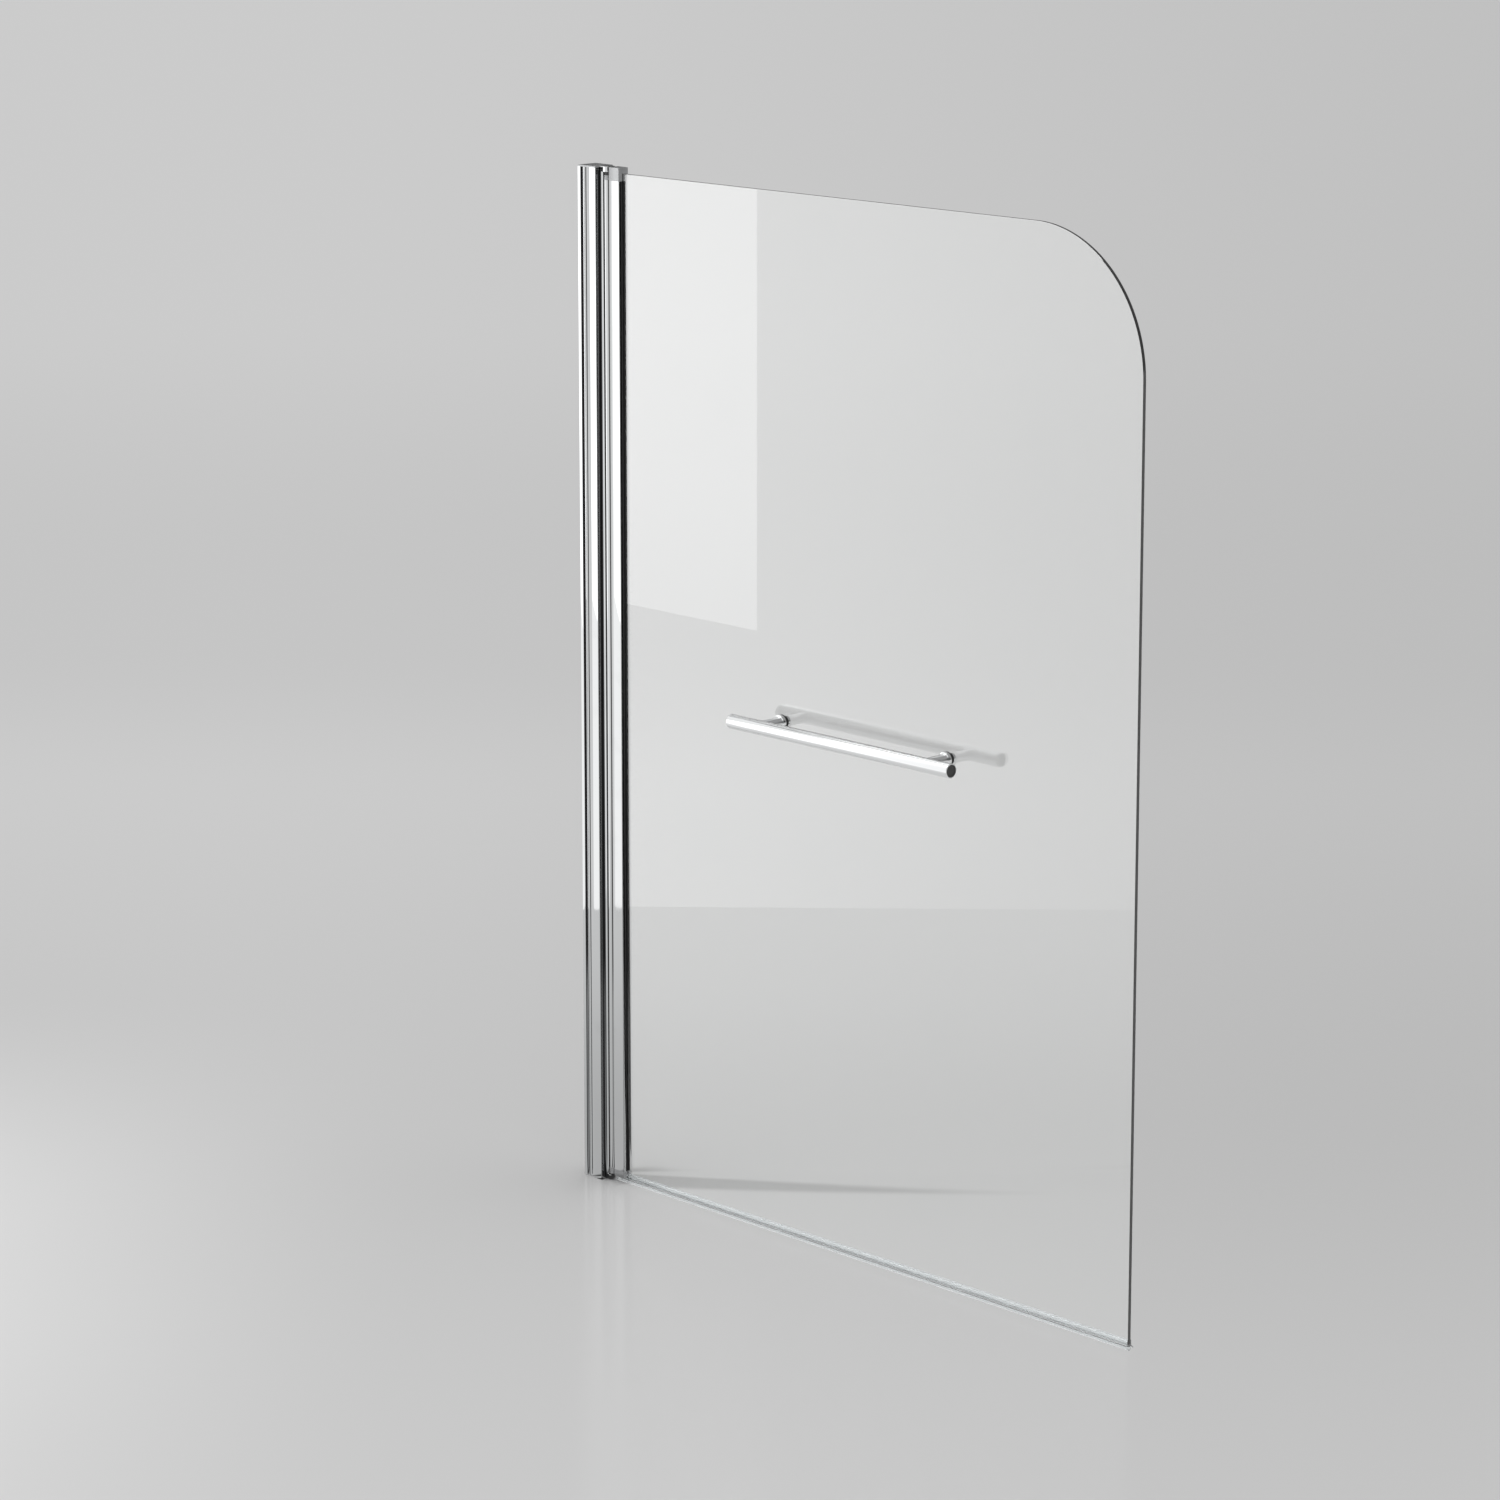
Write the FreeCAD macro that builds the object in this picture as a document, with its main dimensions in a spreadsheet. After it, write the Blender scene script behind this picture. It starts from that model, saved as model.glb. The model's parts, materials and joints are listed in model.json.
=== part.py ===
import FreeCAD, Part
import math
import os

import Sketcher

# Bath screen: a glass leaf that pivots beside a wall channel.
# Frame: X runs from the wall (X = 0) along the closed glass, Z is up from the bath rim (Z = 0),
# and Y = 0 is the middle of the glass. The towel bar is on the -Y side. Millimetres.

SIZES = {
    # whole screen
    "overall_height": 1400.0,
    "overall_reach": 1000.0,
    "tool_overshoot": 1.0,
    # glass
    "glass_thickness": 5.0,
    "glass_corner_radius": 180.0,
    "glass_foot_gap": 8.0,
    "glass_head_gap": 8.0,
    "glass_edge_bevel": 0.5,
    "glass_hole_radius": 6.0,
    "glass_slot_gap": 0.6,
    # wall channel
    "channel_width": 32.0,
    "channel_depth": 35.0,
    "channel_wall": 1.8,
    "web_thickness": 2.5,
    "bead_width": 5.3,
    "bead_height": 2.5,
    "groove_start": 8.8,
    "groove_width": 1.0,
    "groove_depth": 0.7,
    "crown_start": 12.5,
    "crown_end": 23.5,
    "channel_edge": 1.0,
    "lip_thickness": 1.8,
    "mouth_clearance": 0.6,
    "cell_wall": 1.4,
    "channel_cap": 2.0,
    "wall_hole_radius": 2.6,
    "wall_hole_inset": 100.0,
    # pivot post and its adjustment
    "wall_screw_room": 12.0,
    "guide_depth": 6.0,
    "guide_clearance": 0.3,
    "nose_width": 17.4,
    "nose_wall": 1.7,
    "port_band": 7.0,
    "port_radius": 1.65,
    "port_spacing": 11.0,
    "adjust_travel": 15.0,
    "adjust_screw_radius": 2.0,
    "adjust_screw_fit": 0.05,
    "adjust_screw_inset": 200.0,
    "adjust_slot_clearance": 0.3,
    "adjust_head_radius": 3.75,
    "adjust_head_height": 2.5,
    "adjust_grip": 9.0,
    "adjust_head_gap": 0.1,
    "cover_radius": 5.2,
    "cover_height": 3.6,
    "cover_wall": 0.7,
    "wiper_width": 2.5,
    "wiper_depth": 2.1,
    "wiper_fit": 0.1,
    # pivot
    "barrel_radius": 7.5,
    "barrel_clearance": 0.4,
    "swing_clearance": 0.5,
    "jaw_clearance": 0.3,
    "neck_width": 4.6,
    "neck_clearance": 0.5,
    "bracket_height": 7.0,
    "bracket_width": 16.8,
    "bracket_foot_gap": 0.5,
    "bracket_cap_clearance": 0.3,
    "bracket_head_radius": 2.6,
    "bracket_head_height": 2.0,
    "bracket_screw_length": 18.0,
    "bracket_screw_fit": 0.04,
    "pin_radius": 2.5,
    "pin_length": 34.0,
    "pin_running_fit": 0.05,
    "bush_radius": 4.0,
    "bush_fit": 0.04,
    "bush_length": 22.0,
    "bush_flange_radius": 7.0,
    "top_ring_height": 4.6,
    "bottom_ring_height": 1.5,
    "ring_clearance": 0.1,
    # clamp profile
    "clamp_thickness": 17.0,
    "clamp_depth": 20.0,
    "clamp_back_wall": 4.0,
    "clamp_edge": 0.9,
    "clamp_cap_height": 18.0,
    "gasket_thickness": 2.2,
    "gasket_proud": 0.4,
    "gasket_fit": 0.04,
    "grub_screw_radius": 2.5,
    "grub_screw_fit": 0.04,
    "grub_screw_inset": 140.0,
    "grub_recess": 0.4,
    # seal under the glass
    "seal_lip_thickness": 1.2,
    "seal_lip_top": 14.0,
    "seal_base_thickness": 2.5,
    "seal_seat_gap": 0.3,
    "seal_glass_fit": 0.05,
    "seal_bulb_radius": 2.8,
    "seal_bulb_wall": 0.8,
    "seal_fin_reach": 4.4,
    "seal_fin_thickness": 0.9,
    "seal_start_gap": 2.0,
    "seal_end_gap": 0.5,
    # towel bar and its posts
    "bar_length": 400.0,
    "bar_radius": 9.5,
    "bar_wall": 1.2,
    "bar_standoff": 44.5,
    "bar_height": 700.0,
    "bar_centre": 530.0,
    "plug_inset": 0.8,
    "plug_depth": 9.0,
    "plug_fit": 0.04,
    "post_inset": 50.0,
    "post_radius": 7.2,
    "post_flange_radius": 10.0,
    "post_flange_height": 5.0,
    "post_taper": 2.5,
    "post_seat_clearance": 0.05,
    "washer_thickness": 2.0,
    "sleeve_wall": 2.6,
    "sleeve_fit": 0.15,
    "rear_washer_radius": 7.5,
    "rear_screw_radius": 3.0,
    "rear_screw_fit": 0.05,
    "rear_head_radius": 6.5,
    "rear_head_height": 5.0,
    "rear_head_dome": 1.7,
    "rear_screw_grip": 14.0,
    "bar_screw_radius": 2.4,
    "bar_screw_fit": 0.05,
    "bar_head_radius": 4.0,
    "bar_head_height": 2.8,
    "bar_screw_grip": 10.0,
}


class Size:
    """A length known both as a number and as a formula on the sheet of sizes."""

    def __init__(self, number, formula):
        self.number = float(number)
        self.formula = formula

    def __add__(self, other):
        other = as_size(other)
        return Size(self.number + other.number, f"({self.formula} + {other.formula})")

    def __radd__(self, other):
        return as_size(other) + self

    def __sub__(self, other):
        other = as_size(other)
        return Size(self.number - other.number, f"({self.formula} - {other.formula})")

    def __rsub__(self, other):
        return as_size(other) - self

    def __mul__(self, other):
        other = as_size(other)
        return Size(self.number * other.number, f"({self.formula} * {other.formula})")

    def __rmul__(self, other):
        return as_size(other) * self

    def __truediv__(self, other):
        other = as_size(other)
        return Size(self.number / other.number, f"({self.formula} / {other.formula})")

    def __neg__(self):
        return Size(-self.number, f"(0 - {self.formula})")


def as_size(value):
    return value if isinstance(value, Size) else Size(value, repr(float(value)))


def leg(hypotenuse, other_leg):
    """The second short side of a right-angled triangle."""
    square = hypotenuse * hypotenuse - other_leg * other_leg
    return Size(math.sqrt(square.number), f"sqrt({square.formula})")


# ---------------------------------------------------------------- document and sheet

doc = FreeCAD.newDocument("bath_screen")
sheet = doc.addObject("Spreadsheet::Sheet", "dims")
for row, (alias, value) in enumerate(SIZES.items(), start=1):
    sheet.set(f"A{row}", alias)
    sheet.set(f"B{row}", str(value))
    sheet.setAlias(f"B{row}", alias)
doc.recompute()


class Sheet:
    """Gives each cell of the sheet as a Size."""

    def __getattr__(self, alias):
        return Size(sheet.get(alias), f"dims.{alias}")


d = Sheet()
nodes = []

# ---------------------------------------------------------------- drawing and solid helpers


def bind(thing, path, size):
    thing.setExpression(path, as_size(size).formula)


def keep(thing, name):
    """Marks a finished object as one node of the screen."""
    thing.Label = name
    nodes.append(thing)
    return thing


def new_body(name):
    return doc.addObject("PartDesign::Body", name)


def new_sketch(body, name, role, lift=0):
    """A sketch on one of the body's own origin planes, raised along the plane's normal."""
    sketch = body.newObject("Sketcher::SketchObject", name)
    planes = [feature for feature in body.Origin.OriginFeatures if feature.Role == role]
    sketch.AttachmentSupport = (planes[0], "")
    sketch.MapMode = "FlatFace"
    bind(sketch, "AttachmentOffset.Base.z", lift)
    return sketch


def fix_point(sketch, edge, end, x, y):
    """Ties a point of the sketch to its two coordinates."""
    for kind, axis, value in (("DistanceX", -2, x), ("DistanceY", -1, y)):
        value = as_size(value)
        if value.number == 0.0:
            sketch.addConstraint(Sketcher.Constraint("PointOnObject", edge, end, axis))
            continue
        index = sketch.addConstraint(Sketcher.Constraint(kind, -1, 1, edge, end, value.number))
        bind(sketch, f"Constraints[{index}]", value)


def fix_radius(sketch, edge, radius):
    index = sketch.addConstraint(Sketcher.Constraint("Radius", edge, radius.number))
    bind(sketch, f"Constraints[{index}]", radius)


def arc_between(start, finish, radius, left):
    """An arc of under half a turn from start to finish, and whether it runs start to finish."""
    chord = finish - start
    height = math.sqrt(max(radius * radius - chord.Length * chord.Length / 4, 0.0))
    across = FreeCAD.Vector(-chord.y, chord.x, 0).normalize()
    centre = (start + finish) * 0.5 + across * (height if left else -height)
    first, last = (start, finish) if left else (finish, start)
    angles = [math.atan2(point.y - centre.y, point.x - centre.x) for point in (first, last)]
    if angles[1] < angles[0]:
        angles[1] += 2 * math.pi
    circle = Part.Circle(centre, FreeCAD.Vector(0, 0, 1), radius)
    return Part.ArcOfCircle(circle, angles[0], angles[1])


def draw_outline(sketch, points):
    """Draws a closed outline. A point (x, y) is reached by a line, and a point
    (x, y, radius, turn) by an arc that turns to the "left" or to the "right"."""
    places = [FreeCAD.Vector(as_size(p[0]).number, as_size(p[1]).number, 0) for p in points]
    ends = []
    for number, point in enumerate(points):
        start, finish = places[number - 1], places[number]
        if len(point) == 2:
            edge = sketch.addGeometry(Part.LineSegment(start, finish), False)
            ends.append((edge, 1, 2))
            continue
        left = point[3] == "left"
        edge = sketch.addGeometry(arc_between(start, finish, point[2].number, left), False)
        ends.append((edge, 1, 2) if left else (edge, 2, 1))
    for number, point in enumerate(points):
        edge, first, last = ends[number]
        following = ends[(number + 1) % len(ends)]
        sketch.addConstraint(Sketcher.Constraint("Coincident", edge, last, following[0], following[1]))
        fix_point(sketch, edge, last, point[0], point[1])
        if len(point) > 2:
            fix_radius(sketch, edge, point[2])


def draw_circle(sketch, x, y, radius):
    place = FreeCAD.Vector(as_size(x).number, as_size(y).number, 0)
    circle = Part.Circle(place, FreeCAD.Vector(0, 0, 1), radius.number)
    edge = sketch.addGeometry(circle, False)
    fix_point(sketch, edge, 3, x, y)
    fix_radius(sketch, edge, radius)


def draw_box(sketch, x0, x1, y0, y1):
    draw_outline(sketch, [(x0, y0), (x1, y0), (x1, y1), (x0, y1)])


def pad(body, sketch, name, length):
    feature = body.newObject("PartDesign::Pad", name)
    feature.Profile = sketch
    bind(feature, "Length", length)
    return feature


TURNS = {
    "x": FreeCAD.Rotation(FreeCAD.Vector(0, 1, 0), 90),
    "y": FreeCAD.Rotation(FreeCAD.Vector(1, 0, 0), -90),
    "z": FreeCAD.Rotation(),
}


def put(thing, place):
    for letter, value in zip("xyz", place):
        bind(thing, f"Placement.Base.{letter}", value)


def cylinder(name, radius, length, place, along="z"):
    """A cylinder that starts at a place and runs along one axis."""
    thing = doc.addObject("Part::Cylinder", name)
    bind(thing, "Radius", radius)
    bind(thing, "Height", length)
    thing.Placement = FreeCAD.Placement(FreeCAD.Vector(), TURNS[along])
    put(thing, place)
    return thing


def cone(name, radius_start, radius_end, length, place, along="z"):
    thing = doc.addObject("Part::Cone", name)
    bind(thing, "Radius1", radius_start)
    bind(thing, "Radius2", radius_end)
    bind(thing, "Height", length)
    thing.Placement = FreeCAD.Placement(FreeCAD.Vector(), TURNS[along])
    put(thing, place)
    return thing


def block(name, low, high):
    thing = doc.addObject("Part::Box", name)
    for side, start, finish in zip(("Length", "Width", "Height"), low, high):
        bind(thing, side, as_size(finish) - start)
    put(thing, low)
    return thing


def cut(name, base, *tools):
    thing = doc.addObject("Part::Cut", name)
    thing.Base = base
    thing.Tool = tools[0] if len(tools) == 1 else fuse(f"{name}_tools", *tools)
    return thing


def fuse(name, *shapes):
    thing = doc.addObject("Part::MultiFuse", name)
    thing.Shapes = list(shapes)
    thing.Refine = True
    return thing


def group(name, shapes):
    """Identical fasteners as separate solids of one node."""
    thing = doc.addObject("Part::Compound", name)
    thing.Links = list(shapes)
    return thing


# ---------------------------------------------------------------- places that pieces share

half_width = d.channel_width / 2
front_leg_inside = half_width - d.bead_height - d.channel_wall
rear_leg_inside = half_width - d.channel_wall
nose_half = d.nose_width / 2
mouth_half = nose_half + d.mouth_clearance
clamp_half = d.clamp_thickness / 2
axis_x = d.channel_depth + clamp_half + d.swing_clearance
jaw_start = axis_x + nose_half + d.jaw_clearance
jaw_end = jaw_start + d.clamp_depth
slot_start = jaw_start + d.clamp_back_wall
glass_half = d.glass_thickness / 2
slot_half = glass_half + d.gasket_thickness
glass_start = slot_start + d.glass_slot_gap
glass_top = d.overall_height - d.glass_head_gap
top_bracket_z = d.overall_height - d.bracket_height
bracket_arm_top = d.overall_height - d.channel_cap - d.bracket_cap_clearance
post_bottom = d.bracket_foot_gap + d.bracket_height
clamp_top = d.overall_height - d.clamp_cap_height
top_collar_z = top_bracket_z - d.ring_clearance - d.top_ring_height
bottom_collar_z = post_bottom + d.ring_clearance + d.bottom_ring_height
bore_radius = d.bush_radius + d.bush_fit
guide_end = d.wall_screw_room + d.guide_depth
adjust_screw_x = d.wall_screw_room + d.guide_depth / 2
head_y = half_width + d.adjust_head_gap
port_places = (adjust_screw_x, adjust_screw_x + d.port_spacing)


def spread(count, inset):
    """Heights of evenly spaced fixings, the outer two an inset from the screen's ends."""
    span = d.overall_height - 2 * inset
    return [inset + span * (i / (count - 1)) for i in range(count)]


wall_hole_heights = spread(4, d.wall_hole_inset)
adjust_heights = spread(3, d.adjust_screw_inset)
grub_heights = spread(5, d.grub_screw_inset)

# ---------------------------------------------------------------- wall channel


def wall_channel():
    """U-shaped extrusion: bead strip, step, fine groove and crowned face in front, plain behind."""
    body = new_body("channel_body")
    section = new_sketch(body, "channel_section", "XY_Plane")
    floor = half_width - d.bead_height
    crown_width = d.crown_end - d.crown_start
    crown_radius = (crown_width * crown_width + d.bead_height * d.bead_height) / (2 * d.bead_height)
    edge_x = d.channel_depth - d.channel_edge
    edge_y = half_width - d.channel_edge
    lip_inside = d.channel_depth - d.lip_thickness
    draw_outline(section, [
        (0, -half_width),
        (d.bead_width, -half_width),
        (d.bead_width, -floor),
        (d.groove_start, -floor),
        (d.groove_start, -(floor - d.groove_depth)),
        (d.groove_start + d.groove_width, -(floor - d.groove_depth)),
        (d.groove_start + d.groove_width, -floor),
        (d.crown_start, -floor),
        (d.crown_end, -half_width, crown_radius, "left"),
        (edge_x, -half_width),
        (d.channel_depth, -edge_y, d.channel_edge, "left"),
        (d.channel_depth, -mouth_half),
        (lip_inside, -mouth_half),
        (lip_inside, -front_leg_inside),
        (d.web_thickness, -front_leg_inside),
        (d.web_thickness, rear_leg_inside),
        (lip_inside, rear_leg_inside),
        (lip_inside, mouth_half),
        (d.channel_depth, mouth_half),
        (d.channel_depth, edge_y),
        (edge_x, half_width, d.channel_edge, "left"),
        (0, half_width),
    ])
    draw_box(
        section,
        d.crown_end,
        lip_inside - d.cell_wall,
        -(half_width - d.cell_wall),
        -(front_leg_inside + d.cell_wall),
    )
    pad(body, section, "channel_pad", d.overall_height - d.channel_cap)
    reach = d.web_thickness + 2 * d.tool_overshoot
    holes = [
        cylinder(f"wall_hole_{i}", d.wall_hole_radius, reach, (-d.tool_overshoot, 0, z), "x")
        for i, z in enumerate(wall_hole_heights)
    ]
    slots = [adjusting_slot(i, z) for i, z in enumerate(adjust_heights)]
    return keep(cut("channel", body, *holes, *slots), "wall_channel")


def adjusting_slot(number, z):
    """A level slot through the rear leg, as long as the post's travel."""
    radius = d.adjust_screw_radius + d.adjust_slot_clearance
    far_x = adjust_screw_x + d.adjust_travel
    start_y = rear_leg_inside - d.tool_overshoot
    reach = d.channel_wall + 2 * d.tool_overshoot
    ends = [
        cylinder(f"slot_end_{number}_{i}", radius, reach, (x, start_y, z), "y")
        for i, x in enumerate((adjust_screw_x, far_x))
    ]
    middle = block(
        f"slot_middle_{number}",
        (adjust_screw_x, start_y, z - radius),
        (far_x, start_y + reach, z + radius),
    )
    return fuse(f"slot_{number}", *ends, middle)


def wall_channel_top_cap():
    """Cover plate on the upper end, with the channel's outer outline and a rounded mouth side."""
    body = new_body("channel_cap_body")
    section = new_sketch(body, "channel_cap_section", "XY_Plane", d.overall_height - d.channel_cap)
    edge_x = d.channel_depth - d.channel_edge
    edge_y = half_width - d.channel_edge
    draw_outline(section, [
        (0, -half_width),
        (edge_x, -half_width),
        (d.channel_depth, -edge_y, d.channel_edge, "left"),
        (d.channel_depth, edge_y),
        (edge_x, half_width, d.channel_edge, "left"),
        (0, half_width),
    ])
    pad(body, section, "channel_cap_pad", d.channel_cap)
    return keep(body, "wall_channel_top_cap")


# ---------------------------------------------------------------- pivot post


def pivot_profile():
    """Hollow extrusion: guide fins inside the channel and a nose that is hollow round the barrel."""
    body = new_body("pivot_profile_body")
    section = new_sketch(body, "pivot_section", "XY_Plane", post_bottom)
    hollow_radius = d.barrel_radius + d.barrel_clearance
    tip_x = axis_x - d.neck_width / 2 - d.neck_clearance
    tip_y = leg(hollow_radius, axis_x - tip_x)
    wiper_half = d.wiper_width / 2
    wiper_mouth = axis_x - leg(hollow_radius, wiper_half)
    wiper_floor = axis_x - hollow_radius - d.wiper_depth
    front_fin = front_leg_inside - d.guide_clearance
    rear_fin = rear_leg_inside - d.guide_clearance
    draw_outline(section, [
        (d.wall_screw_room, -front_fin),
        (guide_end, -front_fin),
        (guide_end, -nose_half),
        (tip_x, -nose_half),
        (tip_x, -tip_y),
        (wiper_mouth, -wiper_half, hollow_radius, "right"),
        (wiper_floor, -wiper_half),
        (wiper_floor, wiper_half),
        (wiper_mouth, wiper_half),
        (tip_x, tip_y, hollow_radius, "right"),
        (tip_x, nose_half),
        (guide_end, nose_half),
        (guide_end, rear_fin),
        (d.wall_screw_room, rear_fin),
    ])
    cell_start = guide_end + d.nose_wall
    cell_end = wiper_floor - d.nose_wall
    band_half = d.port_band / 2
    cell_outside = nose_half - d.nose_wall
    draw_box(section, cell_start, cell_end, -cell_outside, -band_half)
    draw_box(section, cell_start, cell_end, band_half, cell_outside)
    for x in port_places:
        draw_circle(section, x, 0, d.port_radius)
    pad(body, section, "pivot_pad", top_bracket_z - post_bottom)
    holes = [
        cylinder(
            f"adjust_hole_{i}",
            d.adjust_screw_radius + d.adjust_screw_fit,
            d.adjust_grip,
            (adjust_screw_x, rear_leg_inside - d.adjust_grip, z),
            "y",
        )
        for i, z in enumerate(adjust_heights)
    ]
    return keep(cut("pivot_profile_cut", body, *holes), "pivot_profile")


def adjusting_screws():
    screws = []
    for i, z in enumerate(adjust_heights):
        shank = cylinder(
            f"adjust_shank_{i}",
            d.adjust_screw_radius,
            d.adjust_grip + d.channel_wall + d.adjust_head_gap,
            (adjust_screw_x, rear_leg_inside - d.adjust_grip, z),
            "y",
        )
        head = cylinder(
            f"adjust_head_{i}", d.adjust_head_radius, d.adjust_head_height, (adjust_screw_x, head_y, z), "y"
        )
        screws.append(fuse(f"adjust_screw_{i}", shank, head))
    return keep(group("adjust_screw_group", screws), "adjusting_screws")


def adjusting_screw_covers():
    """Snap caps, open towards the channel."""
    covers = []
    for i, z in enumerate(adjust_heights):
        straight = d.cover_height - d.cover_wall
        wall = cylinder(f"cover_wall_{i}", d.cover_radius, straight, (adjust_screw_x, head_y, z), "y")
        crown = cone(
            f"cover_crown_{i}",
            d.cover_radius,
            d.cover_radius - d.cover_wall,
            d.cover_wall,
            (adjust_screw_x, head_y + straight, z),
            "y",
        )
        inside = cylinder(
            f"cover_inside_{i}", d.cover_radius - d.cover_wall, straight, (adjust_screw_x, head_y, z), "y"
        )
        covers.append(cut(f"cover_{i}", fuse(f"cover_outside_{i}", wall, crown), inside))
    return keep(group("cover_group", covers), "adjusting_screw_covers")


def pivot_bracket(name, low_z, high_z, arm_high_z, head_z, bore_z):
    """End casting: an arm inside the channel's mouth and a round boss about the pivot axis."""
    half = d.bracket_width / 2
    mouth_x = d.channel_depth + d.bracket_cap_clearance
    arm = block(f"{name}_arm", (d.wall_screw_room, -half, low_z), (axis_x, half, arm_high_z))
    neck = block(f"{name}_neck", (mouth_x, -half, low_z), (axis_x, half, high_z))
    boss = cylinder(f"{name}_boss", half, high_z - low_z, (axis_x, 0, low_z))
    cuts = [cylinder(f"{name}_bore", d.pin_radius, d.bracket_height, (axis_x, 0, bore_z))]
    for i, x in enumerate(port_places):
        cuts.append(cylinder(f"{name}_way_{i}", d.port_radius, d.bracket_height, (x, 0, low_z)))
        cuts.append(
            cylinder(
                f"{name}_sink_{i}",
                d.bracket_head_radius + d.bracket_screw_fit,
                d.bracket_head_height,
                (x, 0, head_z),
            )
        )
    solid = fuse(f"{name}_solid", arm, neck, boss)
    return keep(cut(f"{name}_cut", solid, *cuts), name)


def bracket_screws():
    """Two screws up into the foot of the post and two down into its head."""
    screws = []
    length = d.bracket_screw_length
    shank = d.port_radius - d.bracket_screw_fit
    for i, x in enumerate(port_places):
        low_head = cylinder(f"low_head_{i}", d.bracket_head_radius, d.bracket_head_height, (x, 0, d.bracket_foot_gap))
        low_shank = cylinder(f"low_shank_{i}", shank, length, (x, 0, d.bracket_foot_gap))
        screws.append(fuse(f"low_screw_{i}", low_head, low_shank))
        head_z = bracket_arm_top - d.bracket_head_height
        high_head = cylinder(f"high_head_{i}", d.bracket_head_radius, d.bracket_head_height, (x, 0, head_z))
        high_shank = cylinder(f"high_shank_{i}", shank, length, (x, 0, bracket_arm_top - length))
        screws.append(fuse(f"high_screw_{i}", high_head, high_shank))
    return keep(group("bracket_screw_group", screws), "bracket_screws")


def hinge_wiper_seal():
    """Rubber strip seated in the nose, just clear of the barrel."""
    hollow_front = axis_x - d.barrel_radius - d.barrel_clearance
    half = d.wiper_width / 2 - d.wiper_fit
    return keep(
        block(
            "wiper",
            (hollow_front - d.wiper_depth + d.wiper_fit, -half, post_bottom),
            (hollow_front + d.wiper_fit, half, top_bracket_z),
        ),
        "hinge_wiper_seal",
    )


# ---------------------------------------------------------------- clamp profile and its fittings


def clamp_points(slotted):
    """Outline of the clamp: round barrel, neck and two jaws, with or without the glass slot."""
    neck_half = d.neck_width / 2
    neck_x = axis_x + leg(d.barrel_radius, neck_half)
    points = [
        (neck_x, -neck_half, d.barrel_radius, "left"),
        (jaw_start, -neck_half),
        *jaw_front_points(),
    ]
    if slotted:
        points += [
            (jaw_end, -slot_half),
            (slot_start, -slot_half),
            (slot_start, slot_half),
            (jaw_end, slot_half),
        ]
    points += [
        *jaw_rear_points(),
        (jaw_start, neck_half),
        (neck_x, neck_half),
        (axis_x - d.barrel_radius, 0, d.barrel_radius, "left"),
    ]
    return points


def jaw_front_points():
    return [
        (jaw_start, -(clamp_half - d.clamp_edge)),
        (jaw_start + d.clamp_edge, -clamp_half, d.clamp_edge, "left"),
        (jaw_end - d.clamp_edge, -clamp_half),
        (jaw_end, -(clamp_half - d.clamp_edge), d.clamp_edge, "left"),
    ]


def jaw_rear_points():
    return [
        (jaw_end, clamp_half - d.clamp_edge),
        (jaw_end - d.clamp_edge, clamp_half, d.clamp_edge, "left"),
        (jaw_start + d.clamp_edge, clamp_half),
        (jaw_start, clamp_half - d.clamp_edge, d.clamp_edge, "left"),
    ]


def clamp_profile():
    body = new_body("clamp_body")
    section = new_sketch(body, "clamp_section", "XY_Plane", d.clamp_cap_height)
    draw_outline(section, clamp_points(True))
    draw_circle(section, axis_x, 0, bore_radius)
    pad(body, section, "clamp_pad", clamp_top - d.clamp_cap_height)
    holes = [
        cylinder(
            f"grub_hole_{i}",
            d.grub_screw_radius + d.grub_screw_fit,
            clamp_half - slot_half,
            (jaw_start + d.clamp_depth / 2, slot_half, z),
            "y",
        )
        for i, z in enumerate(grub_heights)
    ]
    return keep(cut("clamp_cut", body, *holes), "clamp_profile")


def clamp_grub_screws():
    screws = [
        cylinder(
            f"grub_screw_{i}",
            d.grub_screw_radius,
            clamp_half - slot_half - d.grub_recess,
            (jaw_start + d.clamp_depth / 2, slot_half, z),
            "y",
        )
        for i, z in enumerate(grub_heights)
    ]
    return keep(group("grub_group", screws), "clamp_grub_screws")


def gasket(name, low_y, high_y):
    return keep(
        block(
            f"{name}_block",
            (slot_start + d.gasket_fit, low_y, d.clamp_cap_height),
            (jaw_end + d.gasket_proud, high_y, clamp_top),
        ),
        name,
    )


def clamp_cap(name, joint_z, collar_end_z, block_end_z, slot_end_z):
    """End cap: a collar that carries on the barrel, a block over the jaws and a slot for the glass."""
    body = new_body(f"{name}_body")
    low_collar = min(joint_z, collar_end_z, key=lambda z: z.number)
    collar = new_sketch(body, f"{name}_collar", "XY_Plane", low_collar)
    draw_outline(collar, clamp_points(False))
    draw_circle(collar, axis_x, 0, bore_radius)
    high_collar = max(joint_z, collar_end_z, key=lambda z: z.number)
    pad(body, collar, f"{name}_collar_pad", high_collar - low_collar)
    low_block = min(joint_z, block_end_z, key=lambda z: z.number)
    high_block = max(joint_z, block_end_z, key=lambda z: z.number)
    jaws = new_sketch(body, f"{name}_jaws", "XY_Plane", low_block)
    draw_outline(jaws, [*jaw_front_points(), *jaw_rear_points()])
    pad(body, jaws, f"{name}_jaws_pad", high_block - low_block)
    low_slot = min(joint_z, slot_end_z, key=lambda z: z.number)
    high_slot = max(joint_z, slot_end_z, key=lambda z: z.number)
    gap = glass_half + d.seal_glass_fit
    slot = block(f"{name}_slot", (slot_start, -gap, low_slot), (jaw_end + d.tool_overshoot, gap, high_slot))
    return keep(cut(f"{name}_cut", body, slot), name)


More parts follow.
